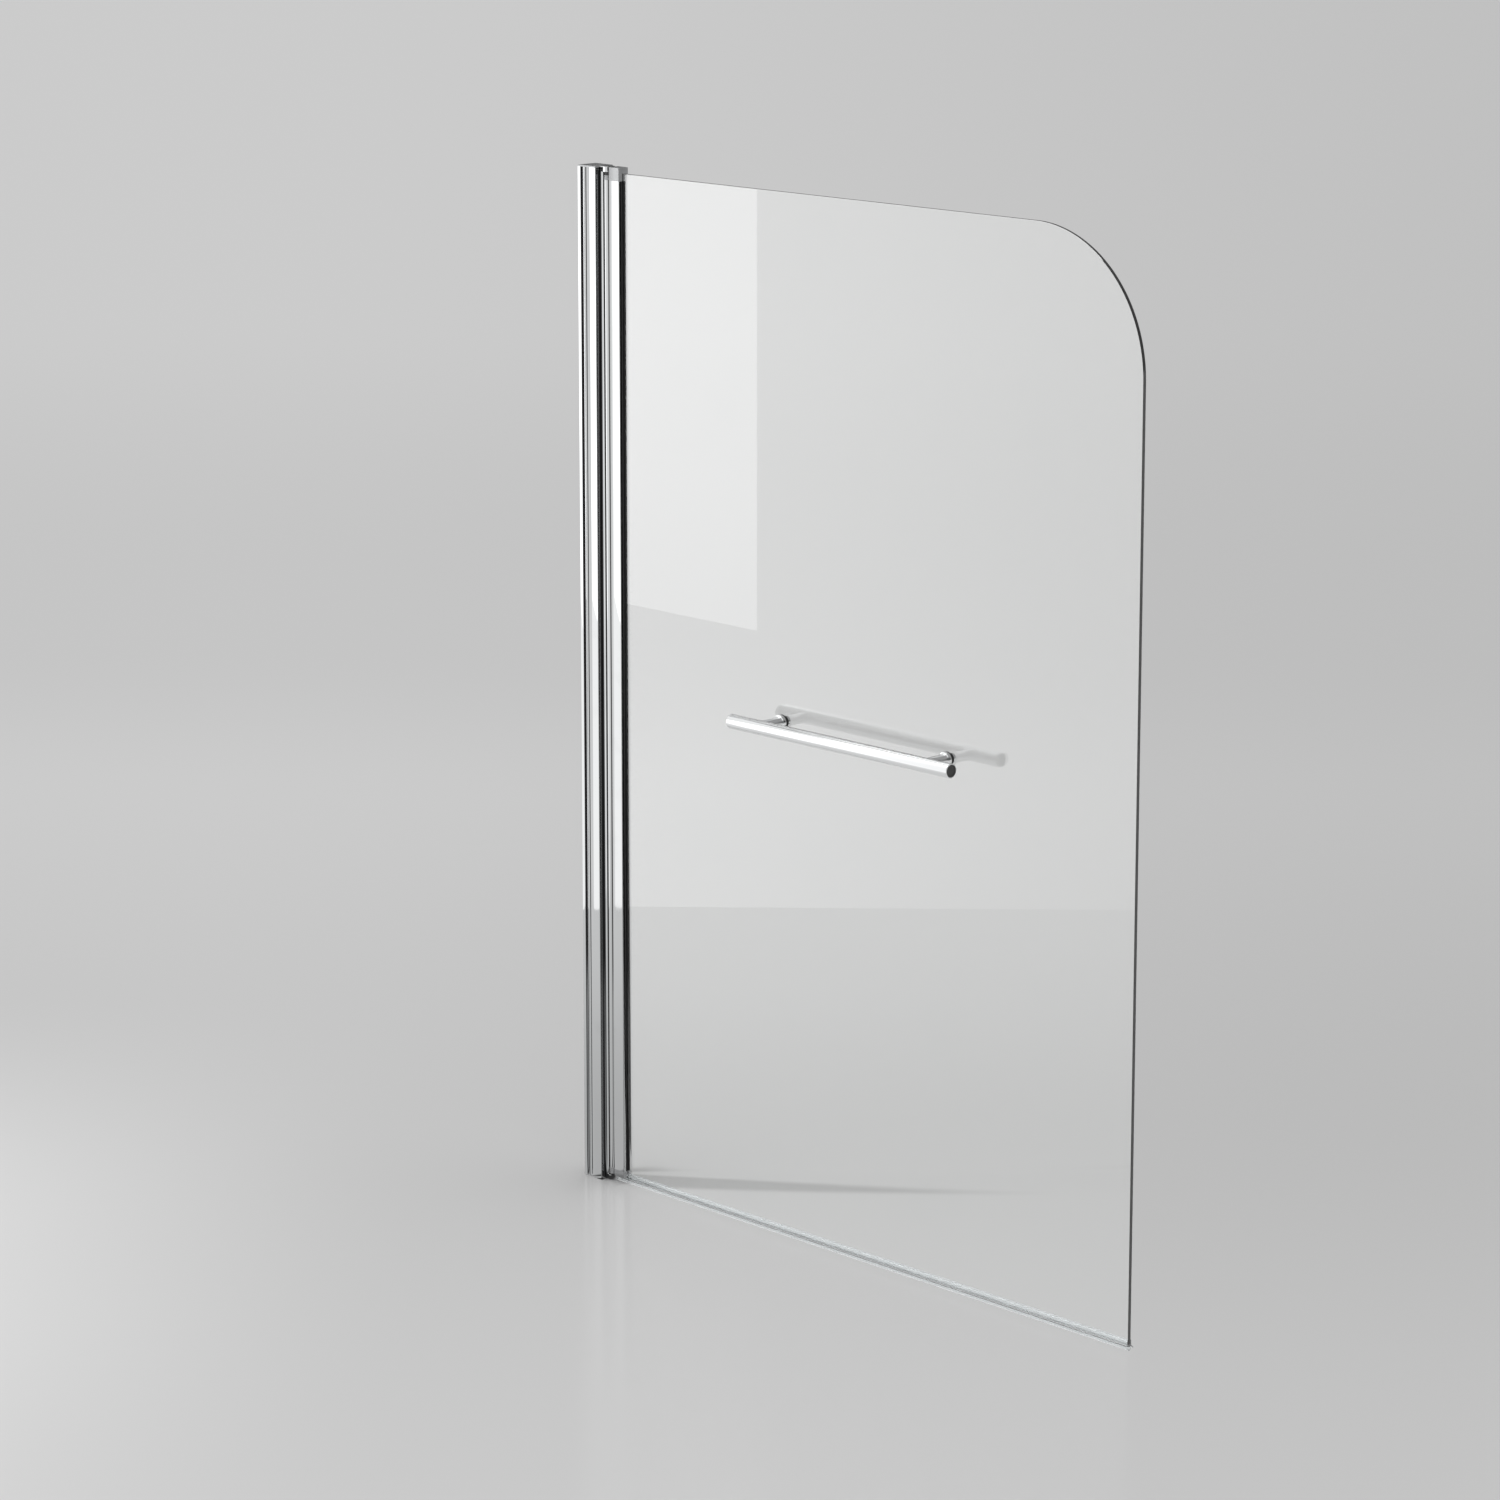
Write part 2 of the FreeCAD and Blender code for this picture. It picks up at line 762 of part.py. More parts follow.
def bush(name, flange_low, flange_height, sleeve_low):
    """Flanged nylon bush in the barrel's bore."""
    flange = cylinder(f"{name}_flange", d.bush_flange_radius, flange_height, (axis_x, 0, flange_low))
    sleeve = cylinder(f"{name}_sleeve", d.bush_radius, d.bush_length, (axis_x, 0, sleeve_low))
    low = min(flange_low, sleeve_low, key=lambda z: z.number)
    bore = cylinder(
        f"{name}_bore", d.pin_radius + d.pin_running_fit, d.bush_length + flange_height, (axis_x, 0, low)
    )
    return keep(cut(f"{name}_cut", fuse(f"{name}_solid", flange, sleeve), bore), name)


# ---------------------------------------------------------------- glass and its seal


def glass_panel():
    """Flat pane with one rounded upper corner, bevelled edges and two holes for the bar."""
    body = new_body("glass_body")
    face = new_sketch(body, "glass_face", "XZ_Plane", -glass_half)
    radius = d.glass_corner_radius
    draw_outline(face, [
        (glass_start, d.glass_foot_gap),
        (d.overall_reach, d.glass_foot_gap),
        (d.overall_reach, glass_top - radius),
        (d.overall_reach - radius, glass_top, radius, "left"),
        (glass_start, glass_top),
    ])
    for x in post_places():
        draw_circle(face, x, d.bar_height, d.glass_hole_radius)
    glass_pad = pad(body, face, "glass_pad", d.glass_thickness)
    doc.recompute()
    rims = [
        f"Face{number}"
        for number, side in enumerate(glass_pad.Shape.Faces, start=1)
        if abs(abs(side.CenterOfMass.y) - glass_half.number) < 0.001
    ]
    bevel = body.newObject("PartDesign::Chamfer", "glass_bevel")
    bevel.Base = (glass_pad, rims)
    bind(bevel, "Size", d.glass_edge_bevel)
    return keep(body, "glass_panel")


def bottom_seal():
    """Clear strip: two lips up the glass, a base under it, a hollow bulb on the rim and a drip fin."""
    base_top = d.glass_foot_gap - d.seal_seat_gap
    base_low = base_top - d.seal_base_thickness
    base_half = glass_half + d.seal_glass_fit + d.seal_lip_thickness
    bulb = d.seal_bulb_radius
    bulb_side = leg(bulb, base_low - bulb)
    fin_tip_y = base_half + d.seal_fin_reach
    fin_drop = d.seal_base_thickness + d.seal_fin_thickness
    body = new_body("seal_body")
    base = new_sketch(body, "seal_base", "YZ_Plane", jaw_start + d.seal_start_gap)
    draw_outline(base, [
        (-base_half, base_top),
        (-base_half, base_low),
        (-bulb_side, base_low),
        (0, 0, bulb, "left"),
        (bulb_side, base_low, bulb, "left"),
        (base_half, base_low),
        (fin_tip_y - d.seal_fin_thickness, base_low - fin_drop),
        (fin_tip_y, base_low - fin_drop + d.seal_fin_thickness),
        (base_half, base_top - d.seal_fin_thickness),
        (base_half, base_top),
    ])
    draw_circle(base, 0, bulb, bulb - d.seal_bulb_wall)
    seal_end = d.overall_reach - d.seal_end_gap
    pad(body, base, "seal_base_pad", seal_end - jaw_start - d.seal_start_gap)
    lip_start = jaw_end + d.gasket_proud + d.seal_glass_fit
    lips = new_sketch(body, "seal_lips", "YZ_Plane", lip_start)
    inside = glass_half + d.seal_glass_fit
    tip = d.seal_lip_top - d.seal_lip_thickness
    for side in (-1, 1):
        draw_outline(lips, [
            (side * base_half, base_top),
            (side * base_half, tip),
            (side * inside, d.seal_lip_top),
            (side * inside, base_top),
        ])
    pad(body, lips, "seal_lips_pad", seal_end - lip_start)
    return keep(body, "bottom_seal")


# ---------------------------------------------------------------- towel bar

bar_y = -(glass_half + d.bar_standoff)
bar_start = d.bar_centre - d.bar_length / 2
bar_end = d.bar_centre + d.bar_length / 2
bar_inside = d.bar_radius - d.bar_wall
front_washer_y = -(glass_half + d.washer_thickness)
flange_front_y = front_washer_y - d.post_flange_height
taper_front_y = flange_front_y - d.post_taper
rear_washer_end = glass_half + d.washer_thickness
rear_screw_tip = front_washer_y - d.rear_screw_grip
bar_screw_seat = bar_y + leg(bar_inside, d.bar_head_radius)
bar_screw_tip = bar_y + d.bar_radius + d.bar_screw_grip


def post_places():
    return (bar_start + d.post_inset, bar_end - d.post_inset)


def towel_bar():
    outside = cylinder("bar_outside", d.bar_radius, d.bar_length, (bar_start, bar_y, d.bar_height), "x")
    inside = cylinder("bar_inside", bar_inside, d.bar_length, (bar_start, bar_y, d.bar_height), "x")
    holes = [
        cylinder(f"bar_hole_{i}", d.bar_screw_radius + d.bar_screw_fit, d.bar_radius, (x, bar_y, d.bar_height), "y")
        for i, x in enumerate(post_places())
    ]
    return keep(cut("bar_tube", outside, inside, *holes), "towel_bar")


def bar_end_plug(name, low_x):
    radius = bar_inside - d.plug_fit
    return keep(cylinder(f"{name}_disc", radius, d.plug_depth, (low_x, bar_y, d.bar_height), "x"), name)


def handle_post(name, x):
    """Turned post: flange on the washer, short taper, stem cut to the bar's curve."""
    z = d.bar_height
    flange = cylinder(
        f"{name}_flange", d.post_flange_radius, d.post_flange_height, (x, flange_front_y, z), "y"
    )
    taper = cone(f"{name}_taper", d.post_radius, d.post_flange_radius, d.post_taper, (x, taper_front_y, z), "y")
    stem = cylinder(f"{name}_stem", d.post_radius, taper_front_y - bar_y, (x, bar_y, z), "y")
    seat_radius = d.bar_radius + d.post_seat_clearance
    half_seat = d.post_radius + d.tool_overshoot
    seat = cylinder(f"{name}_seat", seat_radius, 2 * half_seat, (x - half_seat, bar_y, z), "x")
    rear_bore = cylinder(
        f"{name}_rear_bore",
        d.rear_screw_radius + d.rear_screw_fit,
        d.rear_screw_grip,
        (x, rear_screw_tip, z),
        "y",
    )
    bar_bore = cylinder(
        f"{name}_bar_bore", d.bar_screw_radius + d.bar_screw_fit, bar_screw_tip - bar_y, (x, bar_y, z), "y"
    )
    solid = fuse(f"{name}_solid", flange, taper, stem)
    return keep(cut(f"{name}_cut", solid, seat, rear_bore, bar_bore), name)


def rings(name, outer, inner, low_y, length):
    """One ring round each of the two holes in the glass."""
    made = []
    for i, x in enumerate(post_places()):
        disc = cylinder(f"{name}_disc_{i}", outer, length, (x, low_y, d.bar_height), "y")
        hole = cylinder(f"{name}_hole_{i}", inner, length, (x, low_y, d.bar_height), "y")
        made.append(cut(f"{name}_{i}", disc, hole))
    return keep(group(f"{name}_group", made), name)


def rear_screws():
    screws = []
    for i, x in enumerate(post_places()):
        z = d.bar_height
        shank_length = rear_washer_end - rear_screw_tip
        shank = cylinder(f"rear_shank_{i}", d.rear_screw_radius, shank_length, (x, rear_screw_tip, z), "y")
        straight = d.rear_head_height - d.rear_head_dome
        head = cylinder(f"rear_head_{i}", d.rear_head_radius, straight, (x, rear_washer_end, z), "y")
        dome = cone(
            f"rear_dome_{i}",
            d.rear_head_radius,
            d.rear_head_radius - d.rear_head_dome,
            d.rear_head_dome,
            (x, rear_washer_end + straight, z),
            "y",
        )
        screws.append(fuse(f"rear_screw_{i}", shank, head, dome))
    return keep(group("rear_screw_group", screws), "rear_screws")


def bar_fixing_screws():
    """Screws from inside the bar into the posts."""
    screws = []
    for i, x in enumerate(post_places()):
        z = d.bar_height
        low_y = bar_screw_seat - d.bar_head_height
        head = cylinder(f"bar_head_{i}", d.bar_head_radius, d.bar_head_height, (x, low_y, z), "y")
        shank = cylinder(f"bar_shank_{i}", d.bar_screw_radius, bar_screw_tip - low_y, (x, low_y, z), "y")
        screws.append(fuse(f"bar_screw_{i}", head, shank))
    return keep(group("bar_screw_group", screws), "bar_fixing_screws")


# ---------------------------------------------------------------- build

wall_channel()
wall_channel_top_cap()

pivot_profile()
adjusting_screws()
adjusting_screw_covers()
pivot_bracket(
    "top_pivot_bracket",
    top_bracket_z,
    d.overall_height,
    bracket_arm_top,
    bracket_arm_top - d.bracket_head_height,
    top_bracket_z,
)
pivot_bracket(
    "bottom_pivot_bracket",
    d.bracket_foot_gap,
    post_bottom,
    post_bottom,
    d.bracket_foot_gap,
    d.bracket_foot_gap,
)
bracket_screws()
keep(
    cylinder("top_pin", d.pin_radius, d.pin_length, (axis_x, 0, d.overall_height - d.pin_length)),
    "top_pivot_pin",
)
keep(
    cylinder("bottom_pin", d.pin_radius, d.pin_length, (axis_x, 0, d.bracket_foot_gap)),
    "bottom_pivot_pin",
)
hinge_wiper_seal()

clamp_profile()
bush("top_bush", top_collar_z, d.top_ring_height, top_collar_z - d.bush_length)
bush("bottom_bush", bottom_collar_z - d.bottom_ring_height, d.bottom_ring_height, bottom_collar_z)
clamp_cap("clamp_top_cap", clamp_top, top_collar_z, d.overall_height, glass_top + d.seal_glass_fit)
clamp_cap("clamp_bottom_cap", d.clamp_cap_height, bottom_collar_z, d.glass_foot_gap, d.glass_foot_gap)
gasket("front_gasket", -(slot_half - d.gasket_fit), -(glass_half + d.gasket_fit))
gasket("rear_gasket", glass_half + d.gasket_fit, slot_half - d.gasket_fit)
clamp_grub_screws()
glass_panel()
bottom_seal()

towel_bar()
bar_end_plug("bar_end_plug_left", bar_start + d.plug_inset)
bar_end_plug("bar_end_plug_right", bar_end - d.plug_inset - d.plug_depth)
for post_name, post_x in zip(("handle_post_left", "handle_post_right"), post_places()):
    handle_post(post_name, post_x)
bar_fixing_screws()
bolt_way = d.rear_screw_radius + d.rear_screw_fit
rings("front_washers", d.post_flange_radius, bolt_way, front_washer_y, d.washer_thickness)
rings("rear_washers", d.rear_washer_radius, bolt_way, glass_half, d.washer_thickness)
rings(
    "glass_hole_sleeves",
    d.glass_hole_radius - d.sleeve_fit,
    d.glass_hole_radius - d.sleeve_fit - d.sleeve_wall,
    -glass_half,
    d.glass_thickness,
)
rear_screws()

doc.recompute()

# ---------------------------------------------------------------- test and write

faults = [thing.Name for thing in doc.Objects if {"Invalid", "Error"} & set(thing.State)]
for node in nodes:
    if node.Shape.isNull() or not node.Shape.isValid() or not node.Shape.Solids:
        faults.append(node.Label)
if faults:
    raise RuntimeError(f"failed objects: {faults}")

os.makedirs("parts", exist_ok=True)
for node in nodes:
    node.Shape.exportStep(f"parts/{node.Label}.step")
    box = node.Shape.BoundBox
    print(
        f"{node.Label:26s} {len(node.Shape.Solids):2d} {node.Shape.Volume:12.1f} "
        f"x {box.XMin:8.2f} {box.XMax:8.2f} y {box.YMin:7.2f} {box.YMax:7.2f} z {box.ZMin:8.2f} {box.ZMax:8.2f}"
    )
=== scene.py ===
import json
import logging
import math
from collections.abc import Callable, Sequence
from dataclasses import dataclass
from enum import Enum

import bmesh
import bpy
from mathutils import Matrix, Vector


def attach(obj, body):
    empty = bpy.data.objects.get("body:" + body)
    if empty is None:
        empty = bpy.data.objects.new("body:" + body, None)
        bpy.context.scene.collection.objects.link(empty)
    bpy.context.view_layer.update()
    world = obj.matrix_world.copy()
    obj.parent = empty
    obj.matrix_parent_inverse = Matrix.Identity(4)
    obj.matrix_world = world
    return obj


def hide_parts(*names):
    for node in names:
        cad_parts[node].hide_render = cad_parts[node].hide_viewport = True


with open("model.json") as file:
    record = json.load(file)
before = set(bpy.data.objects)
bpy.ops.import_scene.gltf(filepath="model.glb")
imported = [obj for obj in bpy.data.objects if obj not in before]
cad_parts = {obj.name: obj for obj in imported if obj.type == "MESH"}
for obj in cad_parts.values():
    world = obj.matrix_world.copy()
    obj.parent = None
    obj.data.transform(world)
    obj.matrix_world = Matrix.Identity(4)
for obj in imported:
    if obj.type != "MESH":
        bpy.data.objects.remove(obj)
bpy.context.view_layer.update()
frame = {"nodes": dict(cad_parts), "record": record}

MM = 0.001
SHARP_ANGLE = math.radians(28)

log = logging.getLogger("bath_screen")

Point = tuple[float, float]


class Body(Enum):
    """The bodies of the screen that a piece can ride on."""

    WALL_SIDE = "wall_side"
    PIVOT_POST = "pivot_post"
    GLASS_LEAF = "glass_leaf"


class Plane(Enum):
    """Where a drawing's across, up and along directions point in the screen's frame."""

    LEVEL = ((1, 0, 0), (0, 1, 0), (0, 0, 1))
    END = ((0, 1, 0), (0, 0, 1), (1, 0, 0))
    FACE = ((1, 0, 0), (0, 0, 1), (0, -1, 0))
    BEHIND = ((-1, 0, 0), (0, 0, 1), (0, 1, 0))

    def matrix(self) -> Matrix:
        """The turn that takes drawing directions to frame directions."""
        return Matrix(self.value).transposed().to_4x4()


# --- drawing with bmesh operators


@dataclass(frozen=True)
class Line:
    """A straight run of an outline, to a point."""

    x: float
    y: float

    def draw(self, bm: bmesh.types.BMesh, tip: bmesh.types.BMVert) -> bmesh.types.BMVert:
        """Extrudes the tip along the run.

        Args:
            bm: the mesh that holds the outline.
            tip: the outline's last vertex.

        Returns:
            The new last vertex.
        """
        made = bmesh.ops.extrude_vert_indiv(bm, verts=[tip])["verts"][0]
        made.co = (self.x, self.y, 0)
        return made


@dataclass(frozen=True)
class Arc:
    """A round run of an outline, about a centre and through an angle in degrees."""

    x: float
    y: float
    degrees: float
    step: float = 7.5

    def draw(self, bm: bmesh.types.BMesh, tip: bmesh.types.BMVert) -> bmesh.types.BMVert:
        """Spins the tip about the centre.

        Args:
            bm: the mesh that holds the outline.
            tip: the outline's last vertex.

        Returns:
            The new last vertex.
        """
        made = bmesh.ops.spin(
            bm,
            geom=[tip],
            cent=(self.x, self.y, 0),
            axis=(0, 0, 1),
            angle=math.radians(self.degrees),
            steps=max(2, math.ceil(abs(self.degrees) / self.step)),
        )
        return next(item for item in made["geom_last"] if isinstance(item, bmesh.types.BMVert))


Run = Line | Arc


def lines(*points: Point) -> list[Run]:
    """Straight runs through several points."""
    return [Line(*point) for point in points]


def draw_runs(bm: bmesh.types.BMesh, start: Point, runs: Sequence[Run], closed: bool) -> None:
    """Draws a chain of edges from a start point.

    Args:
        bm: the mesh to draw in.
        start: the first point.
        runs: the runs that follow it.
        closed: whether the last point joins the first.
    """
    first = bm.verts.new((*start, 0))
    tip = first
    for run in runs:
        tip = run.draw(bm, tip)
    if closed and (tip.co - first.co).length > 0.01:
        bm.edges.new((tip, first))
    elif closed:
        bmesh.ops.weld_verts(bm, targetmap={tip: first})


def raise_faces(bm: bmesh.types.BMesh, faces: list[bmesh.types.BMFace], height: float) -> None:
    """Extrudes flat faces along the drawing's third direction."""
    made = bmesh.ops.extrude_face_region(bm, geom=faces)["geom"]
    raised = [item for item in made if isinstance(item, bmesh.types.BMVert)]
    bmesh.ops.translate(bm, verts=raised, vec=(0, 0, height))


def object_of(bm: bmesh.types.BMesh, name: str) -> bpy.types.Object:
    """Makes a plain object of a mesh as it stands and frees the bmesh."""
    mesh = bpy.data.meshes.new(name)
    bm.to_mesh(mesh)
    bm.free()
    made = bpy.data.objects.new(name, mesh)
    bpy.context.scene.collection.objects.link(made)
    return made


class Solid:
    """A closed shape in the making, in millimetres."""

    def __init__(self) -> None:
        """Starts with an empty mesh."""
        self.bm = bmesh.new()

    @classmethod
    def prism(
        cls,
        start: Point,
        runs: Sequence[Run],
        low: float,
        high: float,
        holes: Sequence[tuple[float, float, float]] = (),
        hole_sides: int = 40,
    ) -> "Solid":
        """Extrudes a closed outline.

        Args:
            start: first point of the outline.
            runs: the runs that close it.
            low: where the prism starts along the drawing's third direction.
            high: where it ends.
            holes: centre x, centre y and radius of round holes through it.
            hole_sides: how many flats each hole has.

        Returns:
            The solid, still in drawing directions.
        """
        solid = cls()
        bm = solid.bm
        draw_runs(bm, start, runs, True)
        for x, y, radius in holes:
            bmesh.ops.create_circle(
                bm, cap_ends=False, segments=hole_sides, radius=radius, matrix=Matrix.Translation((x, y, 0))
            )
        if holes:
            made = bmesh.ops.triangle_fill(bm, use_beauty=True, use_dissolve=False, edges=bm.edges[:])
            faces = [item for item in made["geom"] if isinstance(item, bmesh.types.BMFace)]
        else:
            faces = bmesh.ops.contextual_create(bm, geom=bm.edges[:])["faces"]
        bmesh.ops.translate(bm, verts=bm.verts[:], vec=(0, 0, low))
        raise_faces(bm, faces, high - low)
        return solid.outward()

    @classmethod
    def turned(cls, start: Point, runs: Sequence[Run], steps: int = 48, closed: bool = False) -> "Solid":
        """Spins a half profile, whose points are radius and height, about its third direction.

        Args:
            start: first point of the profile.
            runs: the runs that follow it.
            steps: how many flats go round.
            closed: whether the profile is a closed loop, as for a ring.

        Returns:
            The solid, with its axis along the drawing's third direction.
        """
        solid = cls()
        bm = solid.bm
        draw_runs(bm, start, runs, closed)
        bmesh.ops.rotate(bm, verts=bm.verts[:], cent=(0, 0, 0), matrix=Matrix.Rotation(math.pi / 2, 3, "X"))
        bmesh.ops.spin(
            bm,
            geom=bm.verts[:] + bm.edges[:],
            cent=(0, 0, 0),
            axis=(0, 0, 1),
            angle=2 * math.pi,
            steps=steps,
            use_merge=True,
        )
        bmesh.ops.remove_doubles(bm, verts=bm.verts[:], dist=1e-4)
        return solid.outward()

    def outward(self) -> "Solid":
        """Points every face outwards."""
        bmesh.ops.recalc_face_normals(self.bm, faces=self.bm.faces[:])
        return self

    def level_bevel(self, width: float, level: float) -> "Solid":
        """Rounds the sharp edges that lie at one height along the drawing's third direction.

        Args:
            width: how far the rounding reaches on each side.
            level: the height.

        Returns:
            This solid.
        """
        chosen = [
            edge
            for edge in self.bm.edges
            if all(abs(vert.co.z - level) < 1e-3 for vert in edge.verts)
            and len(edge.link_faces) == 2
            and edge.calc_face_angle() > SHARP_ANGLE
        ]
        bmesh.ops.bevel(
            self.bm,
            geom=chosen,
            offset=width,
            offset_type="OFFSET",
            segments=3,
            profile=0.5,
            affect="EDGES",
            material=-1,
            clamp_overlap=True,
        )
        return self

    def add(self, *others: "Solid") -> "Solid":
        """Takes other solids into this one as loose shells."""
        for other in others:
            mesh = bpy.data.meshes.new("joined")
            other.bm.to_mesh(mesh)
            other.bm.free()
            self.bm.from_mesh(mesh)
            bpy.data.meshes.remove(mesh)
        return self

    def place(self, plane: Plane = Plane.LEVEL, at: Sequence[float] = (0, 0, 0)) -> "Solid":
        """Turns the drawing into the screen's frame and moves it."""
        bmesh.ops.transform(self.bm, matrix=Matrix.Translation(at) @ plane.matrix(), verts=self.bm.verts[:])
        return self

    def cut(self, *tools: "Solid") -> "Solid":
        """Takes the tools' shapes out of this solid."""
        base = object_of(self.bm, "cut_base")
        spent = [base]
        for tool in tools:
            blade = object_of(tool.bm, "cut_tool")
            spent.append(blade)
            modifier = base.modifiers.new("cut", "BOOLEAN")
            modifier.operation = "DIFFERENCE"
            modifier.solver = "EXACT"
            modifier.object = blade
        bpy.context.view_layer.update()
        result = bpy.data.meshes.new_from_object(base.evaluated_get(bpy.context.evaluated_depsgraph_get()))
        self.bm = bmesh.new()
        self.bm.from_mesh(result)
        bpy.data.meshes.remove(result)
        for used in spent:
            mesh = used.data
            bpy.data.objects.remove(used)
            bpy.data.meshes.remove(mesh)
        return self

    def piece(
        self,
        name: str,
        finish: "Finish",
        body: Body,
        replaces: Sequence[str] = (),
    ) -> bpy.types.Object:
        """Turns the solid into a finished piece of the screen.

        Args:
            name: the piece's name.
            finish: its finish, whose material it gets.
            body: the body it rides on.
            replaces: the CAD nodes it stands for.

        Returns:
            The Blender object.
        """
        bmesh.ops.scale(self.bm, vec=(MM, MM, MM), verts=self.bm.verts[:])
        bmesh.ops.remove_doubles(self.bm, verts=self.bm.verts[:], dist=1e-7)
        self.outward()
        for face in self.bm.faces:
            face.smooth = True
        for edge in self.bm.edges:
            edge.smooth = len(edge.link_faces) == 2 and edge.calc_face_angle(0.0) < SHARP_ANGLE
        made = object_of(self.bm, name)
        made.data.materials.append(finish.material())
        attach(made, body.value)
        if replaces:
            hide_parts(*replaces)
        log.info("%s: %d faces, on %s", name, len(made.data.polygons), body.value)
        return made


def box(low: Sequence[float], high: Sequence[float]) -> Solid:
    """A block between two corners, in the screen's frame."""
    (x0, y0, z0), (x1, y1, z1) = low, high
    return Solid.prism((x0, y0), lines((x1, y0), (x1, y1), (x0, y1)), z0, z1)


def rod(radius: float, low: float, high: float, steps: int = 32) -> Solid:
    """A plain round bar along the drawing's third direction, for cutting."""
    return Solid.turned((0, low), lines((radius, low), (radius, high), (0, high)), steps)


def soft_ring(inner: float, outer: float, low: float, high: float, soft: float, steps: int) -> Solid:
    """A ring about the drawing's third direction, with rounded outer edges.

    Args:
        inner: radius of its bore.
        outer: outside radius.
        low: where it starts.
        high: where it ends.
        soft: radius of the rounding.
        steps: how many flats go round.

    Returns:
        The ring.
    """
    turn = outer - soft
    runs = [
        Line(turn, low),
        Arc(turn, low + soft, 90, 22.5),
        Line(outer, high - soft),
        Arc(turn, high - soft, 90, 22.5),
        Line(inner, high),
    ]
    return Solid.turned((inner, low), runs, steps, True)


def socket_head(radius: float, height: float, dome: float, across_flats: float, depth: float) -> Solid:
    """A round screw head with a rounded shoulder and a six-sided socket.

    Args:
        radius: outside radius of the head.
        height: full height of the head.
        dome: how far down the shoulder's rounding reaches.
        across_flats: width of the socket.
        depth: depth of the socket.

    Returns:
        The head, standing on the drawing plane.
    """
    head = Solid.turned(
        (0, 0),
        [*lines((radius, 0), (radius, height - dome)), Arc(radius - dome, height - dome, 90), Line(0, height)],
    )
    socket = Solid()
    bmesh.ops.create_circle(
        socket.bm,
        cap_ends=True,
        segments=6,
        radius=across_flats / math.sqrt(3),
        matrix=Matrix.Translation((0, 0, height - depth)),
    )
    raise_faces(socket.bm, socket.bm.faces[:], depth + 1)
    return head.cut(socket.outward())


def let_light_through(made: bpy.types.Object) -> None:
    """Keeps a clear piece from darkening the floor, as real clear glass hardly does."""
    made.visible_shadow = False
    made.visible_diffuse = False


# --- shader values and finishes


class Wire:
    """A shader value that adds its own Math nodes when it is used in an expression."""

    def __init__(self, graph: "Graph", socket: bpy.types.NodeSocket) -> None:
        """Wraps an output socket of a graph."""
        self.graph = graph
        self.socket = socket

    def _math(self, operation: str, *values: "Wire | float") -> "Wire":
        """Adds one Math node."""
        return self.graph.add("ShaderNodeMath", {"operation": operation}, dict(enumerate(values)))

    def __add__(self, other: "Wire | float") -> "Wire":
        """Adds two values."""
        return self._math("ADD", self, other)

    __radd__ = __add__

    def __sub__(self, other: "Wire | float") -> "Wire":
        """Takes one value from another."""
        return self._math("SUBTRACT", self, other)

    def __rsub__(self, other: float) -> "Wire":
        """Takes a value from a number."""
        return self._math("SUBTRACT", other, self)

    def __mul__(self, other: "Wire | float") -> "Wire":
        """Multiplies two values."""
        return self._math("MULTIPLY", self, other)

    __rmul__ = __mul__

    def __truediv__(self, other: "Wire | float") -> "Wire":
        """Divides one value by another."""
        return self._math("DIVIDE", self, other)

    def __rtruediv__(self, other: float) -> "Wire":
        """Divides a number by a value."""
        return self._math("DIVIDE", other, self)

    def angle_to(self, across: "Wire") -> "Wire":
        """The angle whose sine part is this value and whose cosine part is the other."""
        return self._math("ARCTAN2", self, across)

    def smooth(self, low: float, high: float) -> "Wire":
        """A soft step from 0 at low to 1 at high."""
        settings = {"interpolation_type": "SMOOTHSTEP"}
        return self.graph.add(
            "ShaderNodeMapRange", settings, {"Value": self, "From Min": low, "From Max": high}, "Result"
        )

    def at_least(self, other: "Wire | float") -> "Wire":
        """The larger of two values."""
        return self._math("MAXIMUM", self, other)

    def at_most(self, other: "Wire | float") -> "Wire":
        """The smaller of two values."""
        return self._math("MINIMUM", self, other)

    def size(self) -> "Wire":
        """The value without its sign."""
        return self._math("ABSOLUTE", self)

    def sector(self, middle: float, half: float, soft: float) -> "Wire":
        """1 inside a sector of an angle, 0 outside, with soft sides; the arguments are degrees."""
        away = (self - math.radians(middle)).size()
        return 1.0 - away.smooth(math.radians(half - soft), math.radians(half + soft))


Value = Wire | float | Sequence[float]


